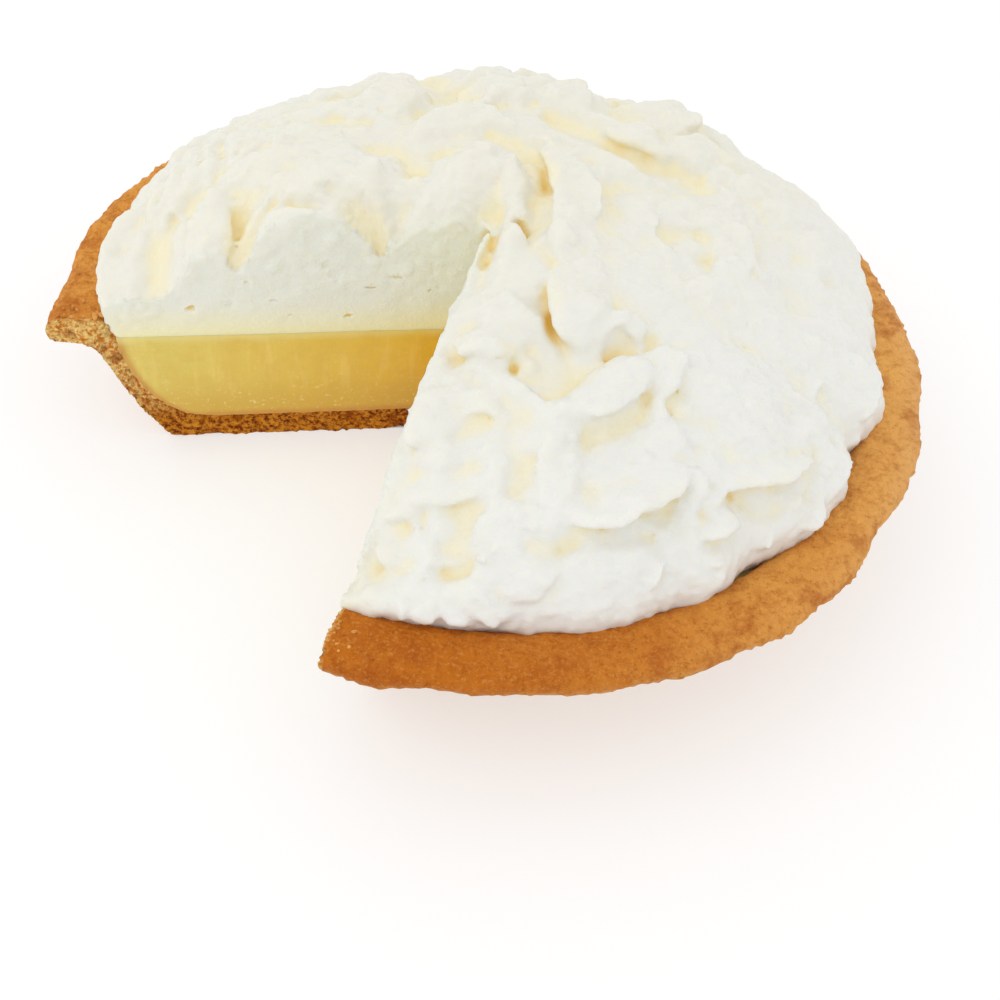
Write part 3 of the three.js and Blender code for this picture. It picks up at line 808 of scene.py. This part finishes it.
def stroke_line(start, middle, end, count=10):
    start, middle, end = (np.array(point, float) for point in (start, middle, end))
    control = 2.0 * middle - (start + end) / 2.0
    t = np.linspace(0.0, 1.0, count)[:, None]
    return start * (1 - t) ** 2 + 2 * control * t * (1 - t) + end * t**2


def stroke_section(x, y, line, level, width):
    """Level of a stroke's line nearest to each point, and how far its section has bent away there."""
    nearest = np.full(x.shape, np.inf)
    share = np.zeros(x.shape)
    side = np.ones(x.shape)
    for i, (start, end) in enumerate(zip(line[:-1], line[1:])):
        span = end - start
        from_x, from_y = x - start[0], y - start[1]
        part = np.clip((from_x * span[0] + from_y * span[1]) / (span @ span), 0.0, 1.0)
        apart = np.hypot(from_x - part * span[0], from_y - part * span[1])
        closer = apart < nearest
        nearest = np.where(closer, apart, nearest)
        share = np.where(closer, (i + part) / (len(line) - 1), share)
        side = np.where(closer, np.sign(span[0] * from_y - span[1] * from_x), side)
    wide = np.where(side > 0, width[0], width[1])
    return level[0] + (level[1] - level[0]) * share, SECTION_RISE * (nearest / wide) ** 2


def map_window(line, width):
    """The part of the map that a stroke can change."""
    margin = max(width) * math.sqrt(NO_REACH / SECTION_RISE) + 5.0
    corners = np.stack([line.min(0) - margin, line.max(0) + margin])
    low, high = np.clip((corners + MAP_REACH) / MAP_STEP, 0, len(map_line)).astype(int)
    return slice(low[1], high[1]), slice(low[0], high[0])


relief_map = np.zeros(map_x.shape)
rough_map = np.full(map_x.shape, 0.8)
for way, *numbers in STROKES:
    start, middle, end, level, width = np.reshape(numbers, (5, 2))
    line = stroke_line(start, middle, end)
    window = map_window(line, width)
    levels, bent = stroke_section(warp_x[window], warp_y[window], line, level, width)
    height = way * levels - bent
    here = way * relief_map[window]
    gap = np.hypot(here - height, CREASE_SOFTNESS)
    taken = (1.0 + (height - here) / gap) / 2.0
    relief_map[window] = way * (here + height + gap) / 2.0
    rough_map[window] += taken * ((1.0 if way == UP else 0.15) - rough_map[window])
print("cream relief from", relief_map.min().round(1), "to", relief_map.max().round(1), "mm")

# %% Roughness of the height map: heaps are left torn, scoops are wiped smooth
ROUGH_SPOTS = [
    (-87, 25, 17, 1.5), (-98, -22, 11, 1.7), (-38, 49, 14, 0.8), (-12, 8, 13, 1.2), (52, 4, 13, 1.1),
    (60, 38, 12, 0.7), (-16, -90, 11, 1.0), (-8, -104, 15, 1.0), (55, -82, 12, 0.6), (92, -45, 14, 0.6),
    (30, 88, 30, 0.7), (-40, 88, 28, 0.7), (10, -42, 12, 0.4), (70, -95, 25, 0.5),
]
TOP_PITS = 70

rough_map = blurred(np.clip(rough_map, 0.0, 1.0), 1.2)
relief_map += 1.8 * puffs(30.0, 10) + (0.4 + 0.6 * rough_map) * 1.6 * puffs(14.0, 11)
relief_map += (0.1 + 0.9 * rough_map) * 0.9 * puffs(6.0, 15)
rough_spots = sum(amount * map_spot(x, y, size) for x, y, size, amount in ROUGH_SPOTS)
relief_map += rough_spots * (1.5 * puffs(9.0, 21) + 0.9 * puffs(4.5, 22)) + 0.5 * map_cloud(10.0, 23)
pit_dice = np.random.default_rng(11)
for _ in range(TOP_PITS):
    x, y = pit_dice.uniform(-20, 100), pit_dice.uniform(-70, 60)
    size, depth = pit_dice.uniform(0.8, 2.2), pit_dice.uniform(0.4, 1.0)
    relief_map -= depth * map_spot(x, y, size)
hollow_map = blurred(relief_map, 7.0) - blurred(relief_map, 1.5)
torn_map = rough_spots + 0.3 * rough_map
print("deepest hollow", hollow_map.max().round(1), "mm")

# %% [markdown]
# ## Heap of cream
# Below its strokes the cream is a dome with a thick lip that lies on the crust's rim, fuller at the back.
# Its edge is ragged and thins out at both cuts, and the knife rounded the upper edge of each cut. The
# heap is the spun block again, with its upper side at the height map.

# %% Edge and dome of the cream
CREAM_BASE = LEMON_TOP - 0.8
CREAM_EDGE = 107.6
CREAM_EDGE_TOP = RIM_TOP + 1.2
CREAM_LIP = 6.5
CREAM_RISE = 29.0
EDGE_SWELLS = [
    (297, -2.4, 3), (311, -3, 4), (338, -3.6, 4), (359, -1.8, 4), (60, -1.5, 4), (122, -2, 5), (348, 2.6, 5),
    (330, 1.5, 4), (26, 6, 16), (35, 3, 30), (95, 3, 35), (152, 5, 22), (180, 1.5, 6), (192, -3.5, 6),
]


def cream_edge(degrees):
    angle = np.radians(degrees)
    wave = 0.6 * np.sin(5 * angle + 0.7) + 0.5 * np.sin(11 * angle + 2.1)
    ring = np.stack([CREAM_EDGE * np.cos(angle), CREAM_EDGE * np.sin(angle), np.zeros_like(angle)], 1)
    ragged = 2.4 * np.abs(cloud(ring, 9.0, 41)) + 1.4 * np.abs(cloud(ring, 4.5, 42)) - 1.0
    return CREAM_EDGE + wave + ragged + swells(EDGE_SWELLS, degrees)


def cream_dome(x, y):
    """Height of the cream before the strokes, and the share of the way out to its edge."""
    degrees = np.degrees(np.arctan2(y, x))
    share = np.clip(np.hypot(x, y) / cream_edge(degrees), 0.0, 1.0)
    to_back = np.clip(np.cos(np.radians(degrees - 95.0)), 0.0, 1.0)
    fall = 2.3 + 0.9 * to_back**1.3
    thin = 1.0 - swells([(191, 1.0, 8), (256, 1.0, 12)], degrees)
    lip = CREAM_LIP * np.clip(thin, 0, 1) * np.sqrt(1.0 - share**24)
    return CREAM_EDGE_TOP + lip + CREAM_RISE * (1.0 - share**fall) ** 0.9, share


def edge_reach(angle):
    distance = reach(angle, CREAM_EDGE)
    for _ in range(3):
        x, y = plan_point(angle, distance)
        distance = reach(angle, cream_edge(np.degrees(np.arctan2(y, x))))
    return distance


def shoulder(x, y, angle, out, radius_near, radius_far):
    """How far the cream rounds down at the upper edge of a cut."""
    offset_x, offset_y = x - SLICE_POINT[0], y - SLICE_POINT[1]
    along_it = offset_x * math.cos(angle) + offset_y * math.sin(angle)
    apart = np.hypot(offset_x * out[0] + offset_y * out[1], np.minimum(along_it, 0.0))
    radius = radius_far + (radius_near - radius_far) * smooth(along_it, 38.0, 26.0)
    inward = np.clip(1.0 - apart / radius, 0.0, 1.0)
    return radius * (1.0 - np.sqrt(1.0 - 0.98 * inward**2))


def top_height(x, y):
    dome, share = cream_dome(x, y)
    height = dome + smooth(1.0 - share, 0.0, 0.1) * sample(relief_map, x, y)
    height = height - shoulder(x, y, LEFT_CUT, LEFT_OUT, 15.0, 3.5)
    height = height - shoulder(x, y, RIGHT_CUT, RIGHT_OUT, 3.0, 3.0)
    return np.maximum(height, LEMON_TOP + 1.0)


soft_top = blurred(top_height(map_x.ravel(), map_y.ravel()).reshape(map_x.shape), 2.5)
print("the heap reaches", soft_top.max().round(1), "mm")

# %% Heap mesh, in millimetres
HEAP_TURNS = 62
EDGE_TUCK = 2.5

cream_heap = block_mesh("cream_heap", spun_block(120, 4, HEAP_TURNS, bottom_hidden=True))
outward, angle, upward = unit_places(read(cream_heap, "co"), HEAP_TURNS)
flat_x, flat_y = plan_point(angle, edge_reach(angle) * outward)
top = top_height(flat_x, flat_y)
tuck = np.where(outward > 0.999, EDGE_TUCK * (1.0 - upward) ** 2, 0.0)
flat_x, flat_y = flat_x - tuck * np.cos(angle), flat_y - tuck * np.sin(angle)
set_points(cream_heap, np.stack([flat_x, flat_y, CREAM_BASE + (top - CREAM_BASE) * upward], 1))
print("the heap has", len(outward), "vertices")

# %% [markdown]
# ## Folds with free edges
# A height map cannot hang over, but real folds do: tongues, petals and lips with a dark slit below them.
# Each of these is a flattened ball drawn out along a curve on the heap and rolled to one side, so that
# one edge sinks in and the other stands free. Those that show are placed one by one. Behind, in torn
# places and along the torn edge, dice place them.

# %% The folds that show
# Each row is three places on the plan, the lift at both ends, half width, half thickness and roll in degrees
FOLDS = [
    # Left side: the outer band, small flutes and the fat petal
    (-98, 18, -102, 0, -100, -22, -0.3, -0.3, 6, 2.2, 0),
    (-99, 34, -96, 20, -95, 8, 0, 0, 2.4, 2.2, 10),
    (-95, 40, -91, 22, -90, 9, 0.2, 0, 2.4, 2.4, 10),
    (-91, 44, -87, 25, -85, 10, 0.2, 0, 2.6, 2.4, 10),
    (-86, 47, -82, 29, -80, 13, 0.2, 0, 2.6, 2.4, 10),
    (-81, 46, -77, 32, -75, 18, 0.2, 0, 2.4, 2.2, 10),
    (-77, 9, -77, -5, -76, -16, -0.4, 0.2, 6.5, 2.2, -14),
    # Back left: the mound's hanging front edge, and lumps along the skyline
    (-66, 7, -55, 11, -42, 8, -1.2, -1.2, 8, 2.2, 8),
    (-40, 49, -36, 56, -29, 53, -0.5, -0.5, 7, 2.8, 0),
    (-24, 38, -15, 44, -4, 46, -0.3, -0.3, 5, 2, -12),
    (-14, 57, -7, 66, 1, 64, -1, -1, 7, 2.5, 0),
    (15, 70, 17, 75, 20, 64, -0.5, -0.5, 5, 2.8, 0),
    # The lobe at the slice's point, and the S of folds beside it
    (9, 31, 18, 13, 14, -13, -0.4, -0.4, 5.5, 2.2, 14),
    (16, 21, 21, 12, 22, 0, -0.7, -0.7, 5.5, 1.5, -14),
    # Back right: lumps behind the crescent trough, and the side of the bowl
    (26, 50, 37, 48, 45, 41, -0.6, -0.6, 6.5, 2.4, 12),
    (48, 46, 53, 45, 58, 43, -1.8, -1.8, 6, 2.6, 4),
    (60, 17, 63, 6, 59, -8, -0.5, -0.5, 6.5, 2, 12),
    (52, -11, 56, -15, 62, -20, -0.5, -0.5, 6.5, 1.8, 14),
    # Middle: the hanging lump and its curled lip, the lump at the cut, the tongue and the upright fold
    (22, -16, 21, -32, 25, -43, -1, 0.2, 8.5, 2.6, 10),
    (28, -39, 33, -33, 37, -39, 1, 1, 3.6, 1.6, 12),
    (-7, -39, 0, -41, 9, -43, -1.2, -1.2, 10, 2.6, 12),
    (39, -45, 30, -55, 22, -64, -0.2, 0, 7.5, 2.6, -10),
    (45, -39, 43, -48, 40, -56, 0, 0, 4.5, 2.3, -12),
    # The ball at the cut, and the edges round the hollows beside it
    (-10, -54, -10, -64, -8, -71, -1, -0.5, 9, 2.8, 0),
    (-5, -63, 1, -60, 9, -64, -0.4, -0.4, 4, 1.4, 12),
    (8, -69, 16, -69, 21, -71, -0.5, -0.5, 5, 1.7, -10),
    (-17, -77, -6, -79, 8, -73, -1.1, -1.1, 6, 2, 4),
    (16, -70, 19, -78, 15, -86, -0.8, -0.8, 5.5, 2, 10),
    # Front: the slab's hanging edge, small petals, the mound's lower band and the bulge
    (21, -87, 33, -79, 49, -69, -1.4, -1.4, 11, 2.4, 11),
    (51, -71, 50, -75, 49, -81, 0.2, 0.2, 4, 1.8, 0),
    (57, -69, 56, -74, 54, -81, 0.2, 0.2, 4, 1.8, 0),
    (52, -65, 65, -65, 82, -53, -0.8, -0.8, 7, 2.2, 12),
    (6, -91, 11, -96, 8, -102, -1.5, -1.5, 9.5, 2.2, 0),
    (51, -84, 56, -79, 62, -74, -1, -1, 6.5, 2, 6),
    # Round the rim: lobes at the edge, and torn lumps where the cream meets the right cut
    (98, -21, 99, -25, 96, -32, -1.5, -1.5, 6, 2.2, 0),
    (87, -50, 88, -54, 85, -59, -1.5, -1.5, 6, 2.2, 0),
    (82, -61, 82, -65, 79, -70, -1.5, -1.5, 5.5, 2.2, 0),
    (-21, -81, -16, -82, -12, -81, -0.2, -0.2, 5, 2.2, 0),
    (-21, -89, -16, -91, -10, -91, -0.2, -0.2, 5, 2.2, 0),
    (-22, -96, -16, -98, -10, -98, -0.2, -0.2, 5, 2.2, 0),
    (-23, -103, -19, -102, -15, -103, 0, 0, 4, 2.4, 0),
    (-16, -106, -14, -105, -12, -105, 0, 0, 4, 2.6, 0),
    (-10, -108, -9, -106, -7, -104, 0, 0, 3.5, 2.4, 0),
    (-6, -102, -3, -105, 2, -107, 0.2, 0.2, 2.5, 1.8, 0),
    (-4, -101, 2, -104, 8, -108, 0.2, 0.2, 2.5, 1.8, 0),
    (-1, -99, 5, -103, 11, -106, 0.2, 0.2, 3, 1.8, 0),
]
folds = [(*np.reshape(row[:8], (4, 2)), *row[8:]) for row in FOLDS]
print(len(folds), "folds by hand")

# %% More folds by dice
BACK_FOLDS = 16
SMALL_FOLDS = 150
EDGE_LUMPS = 39
TORN_EDGES = [(140, 192), (257, 274), (304, 350)]


def bearing(angle):
    return np.array([math.cos(angle), math.sin(angle)])


def short_curve(middle, step, bow=0.0):
    """Both ends and the middle of a short curve, which is pushed aside by a share of its half length."""
    return middle - step, middle + np.array([-step[1], step[0]]) * bow, middle + step


back_dice = np.random.default_rng(7).uniform
for _ in range(BACK_FOLDS):
    middle = bearing(math.radians(back_dice(35, 165))) * back_dice(72, 100)
    step = bearing(back_dice(0, FULL_TURN)) * back_dice(7, 13)
    bow, roll, half_width = back_dice(-0.3, 0.3), back_dice(-14, 14), back_dice(5, 9)
    folds.append((*short_curve(middle, step, bow), (-1, -0.5), half_width, 2, roll))

small_dice = np.random.default_rng(17).uniform
small_made = 0
while small_made < SMALL_FOLDS:
    middle = small_dice(-104, 104, 2)
    chance = 0.12 + 0.88 * smooth(sample(torn_map, *middle.reshape(2, 1))[0], 0.2, 0.9)
    step = bearing(small_dice(0, FULL_TURN)) * small_dice(2.5, 6.0)
    sizes = small_dice(1.8, 3.6), small_dice(1.0, 1.6), small_dice(-22, 22)
    curve = short_curve(middle, step, small_dice(-0.4, 0.4))
    if math.hypot(*middle) < 103.0 and small_dice() < chance:
        folds.append((*curve, (-0.3, 0), *sizes))
        small_made += 1

edge_dice = np.random.default_rng(29).uniform
for i in range(EDGE_LUMPS):
    at = math.radians(edge_dice(*TORN_EDGES[i % 3]))
    middle = bearing(at) * edge_dice(101, 105)
    step = bearing(at + math.pi / 2 + edge_dice(-0.8, 0.8)) * edge_dice(2, 5)
    sizes = edge_dice(2, 3.4), edge_dice(1.6, 2.6), edge_dice(-20, 20)
    folds.append((*short_curve(middle, step), (-1.2, -0.6), *sizes))
print(len(folds), "folds in all")

# %% Shape of a fold
TRIM = 3.5


def out_of_slice(points):
    """Presses what would stand in the missing slice back behind the nearer cut."""
    offset = points - SLICE_POINT
    past_right, past_left = offset @ RIGHT_OUT, offset @ LEFT_OUT
    near = np.minimum(past_right, past_left) > -TRIM
    to_right = near & (past_right < past_left)
    for chosen, past, out in ((to_right, past_right, RIGHT_OUT), (near & ~to_right, past_left, LEFT_OUT)):
        kept = -TRIM * np.exp(-(past[chosen] + TRIM) / TRIM)
        points[chosen] += (kept - past[chosen])[:, None] * out
    return points


def fold_mesh(start, middle, end, lift, half_width, half_thick, roll):
    """A flattened ball, drawn out along its line and rolled to its left or right."""
    ball = bmesh.new()
    bmesh.ops.create_uvsphere(ball, u_segments=24, v_segments=28, radius=1.0)
    bmesh.ops.rotate(ball, matrix=Matrix.Rotation(math.pi / 2, 3, "Y"), verts=ball.verts)
    mesh = block_mesh("fold", ball)
    along_line, across, up = read(mesh, "co").T
    line = stroke_line(start, middle, end, 41)
    share = (along_line + 1.0) / 2.0
    places = np.linspace(0.0, 1.0, len(line))
    blunt = np.sqrt(1.0 + 0.6 * along_line**2)
    slope = np.gradient(line, axis=0)
    slope = slope / np.hypot(*slope.T)[:, None]
    at_x, at_y, to_x, to_y = (np.interp(share, places, column) for column in (*line.T, *slope.T))
    wide, thick = across * half_width * blunt, up * half_thick * blunt
    tip = math.radians(roll)
    aside = wide * math.cos(tip) + thick * math.sin(tip)
    rise = thick * math.cos(tip) - wide * math.sin(tip)
    height = sample(soft_top, at_x, at_y) + lift[0] + (lift[1] - lift[0]) * share + rise
    points = np.stack([at_x - to_y * aside, at_y + to_x * aside, height], 1)
    points += np.stack([cloud(points, 9.0, seed) for seed in (31, 32, 33)], 1) * 1.5
    points += np.stack([cloud(points, 4.5, seed) for seed in (36, 37, 38)], 1) * 0.6
    set_points(mesh, out_of_slice(points))
    return mesh


fold_meshes = [fold_mesh(*row) for row in folds]
print("each fold has", len(fold_meshes[0].vertices), "vertices")

# %% [markdown]
# ## One skin
# Heap and folds still cut through each other. A boolean of so many parts is slow and can fail, so a voxel
# remesh grows one closed skin round all of them. Where the left cut has pits, the skin is split finer.

# %% Join the heap and the folds into one skin
VOXEL = 0.94


def join_skin(meshes):
    whole = bmesh.new()
    for mesh in meshes:
        whole.from_mesh(mesh)
    joined = block_mesh("cream_parts", whole)
    stand_in = new_object("cream_parts", joined)
    remesh = stand_in.modifiers.new("skin", "REMESH")
    remesh.mode = "VOXEL"
    remesh.voxel_size = VOXEL
    skin = bpy.data.meshes.new_from_object(stand_in.evaluated_get(bpy.context.evaluated_depsgraph_get()))
    bpy.data.objects.remove(stand_in)
    for mesh in [joined, *meshes]:
        bpy.data.meshes.remove(mesh)
    skin.name = "whipped_cream"
    return skin


def neighbour_mean(mesh, values, times):
    """Values at vertices, averaged with their neighbours a number of times."""
    edges = np.empty(len(mesh.edges) * 2, np.int64)
    mesh.edges.foreach_get("vertices", edges)
    first, second = edges.reshape(-1, 2).T
    count = len(mesh.vertices)
    links = np.bincount(first, minlength=count) + np.bincount(second, minlength=count)
    for _ in range(times):
        around = [np.bincount(first, column[second], count) + np.bincount(second, column[first], count)
                  for column in values.T]
        values = (values + np.stack(around, 1) / links[:, None]) / 2.0
    return values


cream_mesh = join_skin([cream_heap, *fold_meshes])
print("cream skin has", len(cream_mesh.vertices), "vertices")

# %% Pits in the left cut: distance from the slice's point, height, half length, half height and depth
CUT_MARKS = [
    (81.6, 49.4, 1.2, 0.8, 1.0), (38.5, 45.4, 1.3, 0.5, 1.0), (32.5, 55.3, 1.3, 0.3, 1.0),
    (29.6, 67.3, 1.0, 0.6, 0.9), (25.7, 58.6, 1.4, 0.4, 0.7), (44.5, 63.0, 1.6, 1.6, 0.4),
    (42.5, 60.0, 1.6, 1.4, 0.4), (58.9, 51.5, 1.2, 0.3, 0.4), (71.1, 50.1, 0.9, 0.6, 0.4),
    (54.5, 46.0, 1.0, 0.3, 0.4), (16.1, 54.1, 0.7, 0.4, 0.6), (66.0, 58.0, 0.6, 0.4, 0.4),
]
MARK_MARGIN = 1.2


def mark_depth(along_it, height):
    """How deep the pits and slits of the cut face are at a place along it."""
    depth = np.zeros_like(along_it)
    spots = np.stack([along_it, height, np.zeros_like(height)], 1)
    along_it = along_it + 0.7 * cloud(spots, 1.6, 43)
    height = height + 0.4 * cloud(spots, 1.6, 44)
    for at, level, half_length, half_height, share in CUT_MARKS:
        off = np.hypot((along_it - at) / half_length, (height - level) / half_height)
        depth = np.maximum(depth, share * smooth(off, 1.4, 0.5))
    return depth


def split_marks(mesh):
    """Makes the mesh finer round the pits of the left cut."""
    shape = bmesh.new()
    shape.from_mesh(mesh)
    edges = {}
    for face in shape.faces:
        middle = face.calc_center_median()
        offset = np.array(middle) - SLICE_POINT
        if abs(offset @ LEFT_OUT) < 1.0 and face.normal.dot(Vector(LEFT_OUT)) > 0.7:
            along_it = math.hypot(offset[0], offset[1])
            if any(abs(along_it - at) < wide + MARK_MARGIN and abs(middle.z - level) < high + MARK_MARGIN
                   for at, level, wide, high, _ in CUT_MARKS):
                edges.update(dict.fromkeys(face.edges))
    bmesh.ops.subdivide_edges(shape, edges=list(edges), cuts=3, use_grid_fill=True)
    shape.to_mesh(mesh)
    shape.free()


split_marks(cream_mesh)
cream_points = neighbour_mean(cream_mesh, read(cream_mesh, "co"), 2)
set_points(cream_mesh, cream_points)
print("with pits it has", len(cream_points), "vertices")

# %% [markdown]
# ## Cuts, creases and roughness
# The remesh leaves the cuts slightly bumpy, so they are pressed flat first. How far each spot lies below
# the mean of its neighbours tells where the creases are. Then the cream is roughened along its normals.

# %% Flatten the cuts and the under side, and find the creases
facing = read(cream_mesh, "normal")
from_point = cream_points - SLICE_POINT
past_right, past_left = from_point @ RIGHT_OUT, from_point @ LEFT_OUT
along_cut = np.hypot(from_point[:, 0], from_point[:, 1])
cream_right = (np.abs(past_right) < 1.0) & (past_left > -1.0) & (facing @ RIGHT_OUT > 0.5)
cream_left = (np.abs(past_left) < 1.0) & (past_right > -1.0) & (facing @ LEFT_OUT > 0.5)
cream_cut = cream_right | cream_left
cream_under = (cream_points[:, 2] < CREAM_BASE + 0.9) & (facing[:, 2] < -0.5)
cream_points[cream_right] -= past_right[cream_right][:, None] * RIGHT_OUT
cream_points[cream_left] -= past_left[cream_left][:, None] * LEFT_OUT
cream_points[cream_under, 2] = CREAM_BASE
smooth_points = neighbour_mean(cream_mesh, cream_points, 5)
broad_points = neighbour_mean(cream_mesh, smooth_points, 45)
# the creases found here are where the finish paints warm shade
crease = 0.8 * np.sum((smooth_points - cream_points) * facing, 1)
crease += 0.4 * np.sum((broad_points - cream_points) * facing, 1)
dip = neighbour_mean(cream_mesh, np.clip(crease, -0.6, 0.9)[:, None], 8)[:, 0]
cut_soft = neighbour_mean(cream_mesh, cream_cut.astype(float)[:, None], 14)[:, 0]
print("creases", np.percentile(crease, [1, 50, 95, 99]).round(2))

# %% Roughen the cream
x, y, z = cream_points.T
roughness_here = sample(rough_map, x, y)
rough_push = 0.6 * cloud(cream_points, 6.0, 34) + 0.6 * np.abs(cloud(cream_points, 3.4, 35)) - 0.15
rough_push = (0.4 + 0.6 * roughness_here) * (rough_push + 0.22 * cloud(cream_points, 2.0, 39))
holes = mark_depth(along_cut, z) * cream_left
pebbles = 0.3 + 0.7 * smooth(z, LEMON_TOP + 8.0, LEMON_TOP + 24.0)
pebbles += 0.9 * smooth(along_cut, 76.0, 96.0)
lumpy = np.abs(cloud(cream_points, 4.2, 13)) + 0.5 * np.abs(cloud(cream_points, 2.2, 48)) - 0.4
cut_push = 0.35 * cloud(cream_points, 7.0, 12) + 0.75 * pebbles * lumpy - 1.2 * holes
cut_push *= smooth(z, LEMON_TOP, LEMON_TOP + 4.0)
push = np.where(cream_cut, cut_push, np.where(cream_under, 0.0, rough_push))
cream_points = cream_points + facing * push[:, None]
cream_points[cream_under, 2] = CREAM_BASE
set_points(cream_mesh, cream_points)
print("cream top at", cream_points[:, 2].max().round(1), "mm")

# %% What the mesh carries for its finish
PATCH = 30.0


def join_under_side(mesh):
    """Makes large faces of the flat under side, which nothing shows."""
    shape = bmesh.new()
    shape.from_mesh(mesh)
    patches = {}
    for face in shape.faces:
        if all(vert.co.z < CREAM_BASE + 0.01 for vert in face.verts):
            middle = face.calc_center_median()
            patches.setdefault((middle.x // PATCH, middle.y // PATCH), []).append(face)
    for faces in patches.values():
        bmesh.ops.dissolve_faces(shape, faces=faces, use_verts=True)
    shape.to_mesh(mesh)
    shape.free()


x, y, z = cream_points.T
low_share = smooth(z, LEMON_TOP + 13.0, LEMON_TOP) + 0.35 * smooth(along_cut, 40.0, 5.0)
low_share += 0.6 * smooth(z, LEMON_TOP + 3.0, LEMON_TOP)
carry(
    cream_mesh,
    # crease, dip and hollow tell where the finish paints warm shade; on the cuts crease holds the pits
    crease=np.where(cream_cut, 0.9 * holes, np.clip(crease, -1.0, 1.5)),
    dip=np.where(cream_cut, 0.0, dip),
    cut=cut_soft,
    hollow=np.where(cream_cut, 0.0, np.clip(sample(hollow_map, x, y), 0.0, 4.0)),
    lemon_near=np.clip(low_share, 0.0, 1.5) * cut_soft,
    cool=smooth(x - y, -20.0, 130.0),
)
join_under_side(cream_mesh)
set_points(cream_mesh, read(cream_mesh, "co") * MM)
shade_smooth(cream_mesh)
print("cream mesh has", len(cream_mesh.polygons), "faces")

# %% [markdown]
# ## Cream finish
# Light goes a few millimetres into cream and comes back warm, so creases and thin hollows look yellow
# while the ridges stay white. This is painted shade: the mesh carries how deep each spot sits, and the
# colour follows that. How closed in a spot is, which the occlusion node measures, paints the narrow slits
# golden.

# %% Cream finish
SLIT_REACH = 5.0

whip = Finish("whipped_cream", Specular_IOR_Level=0.3, Subsurface_Weight=0.25,
              Subsurface_Radius=(1.0, 0.75, 0.4), Subsurface_Scale=0.004)
crease_wire, cut_wire, cool = whip.mark("crease"), whip.mark("cut"), whip.mark("cool")
closed_in = 1.0 - whip.node("ShaderNodeAmbientOcclusion", {"samples": 4, "only_local": True},
                            {"Distance": SLIT_REACH * MM}, "AO")
whip.feed("Base Color", whip.coats(
    whip.mix(whip.noise(22, 2.0), tone(231, 230, 222), tone(232, 229, 213)),
    (cool * 0.7, tone(232, 233, 230)),
    (cut_wire * 0.8, tone(230, 233, 224)),
    (whip.mark("lemon_near") * 0.66, tone(242, 234, 180)),
    # painted shade: warm tints in hollows, dips and creases, golden in the deepest creases and the cut's pits
    (whip.step(whip.mark("hollow"), 0.3, 3.0) * (1.0 - cool * 0.7), tone(238, 231, 203)),
    (whip.step(whip.mark("dip"), 0.03, 0.4) * (1.0 - cool * 0.4), tone(241, 233, 202)),
    (whip.step(crease_wire, 0.4, 1.0) * (1.0 - cool * 0.6), tone(243, 225, 168)),
    (whip.step(crease_wire, 0.72, 1.2), tone(238, 188, 88)),
    # painted shade: narrow slits that the occlusion node finds closed in are painted golden
    (whip.step(closed_in, 0.42, 0.7), tone(245, 226, 166)),
    (whip.step(closed_in, 0.58, 0.85), tone(248, 208, 72)),
))
whip.feed("Roughness", 0.5 + cut_wire * 0.25)
grain = whip.noise(2.6, 4.0, 0.6) + whip.noise(1.1, 3.0, 0.6) * cut_wire * 0.8
whip.bump(grain + whip.noise(0.7, 2.0) * 0.3, 0.5, 0.5)
add_piece("cream_folds", cream_mesh, whip, "whipped_cream")

# %% [markdown]
# ## Loose crumbs
# The knife pulled a few golden crumbs from the rim onto the end of the cream and along both cut edges.
# They are small roughened balls, each set down on the surface below it and joined to one mesh.

# %% Loose crumbs
CRUMBS = 42
CLUSTERED = 24

crumb_dice = np.random.default_rng(23).uniform
crumb_shape = bmesh.new()
for i in range(CRUMBS):
    at_left = i % 3 > 0
    on_cream = at_left and i < CLUSTERED
    cut, out = (LEFT_CUT, LEFT_OUT) if at_left else (RIGHT_CUT, RIGHT_OUT)
    rim_ends = (110.0, 117.0) if at_left else (116.0, 124.0)
    spot_x, spot_y = plan_point(cut, crumb_dice(*((102.0, 107.5) if on_cream else rim_ends)))
    inward = crumb_dice(*((0.8, 2.5) if i < CLUSTERED else (1.0, 8.0)))
    spot = np.array([[spot_x - inward * out[0]], [spot_y - inward * out[1]]])
    share = cream_dome(*spot)[1][0]
    ground = top_height(*spot)[0] if share < 0.999 else RIM_TOP
    size = crumb_dice(*((0.3, 0.9) if on_cream else (0.25, 0.5)))
    place = Matrix.Translation((spot[0, 0], spot[1, 0], ground + 0.3 * size))
    bmesh.ops.create_icosphere(crumb_shape, subdivisions=2, radius=size, matrix=place)
crumb_mesh = block_mesh("crumbs", crumb_shape)
crumb_points = read(crumb_mesh, "co")
crumb_points += read(crumb_mesh, "normal") * (0.35 * cloud(crumb_points, 0.8, 45))[:, None]
set_points(crumb_mesh, crumb_points * MM)
carry(crumb_mesh, pale=np.ones(len(crumb_points)))
add_piece("loose_crumbs", crumb_mesh, toast)
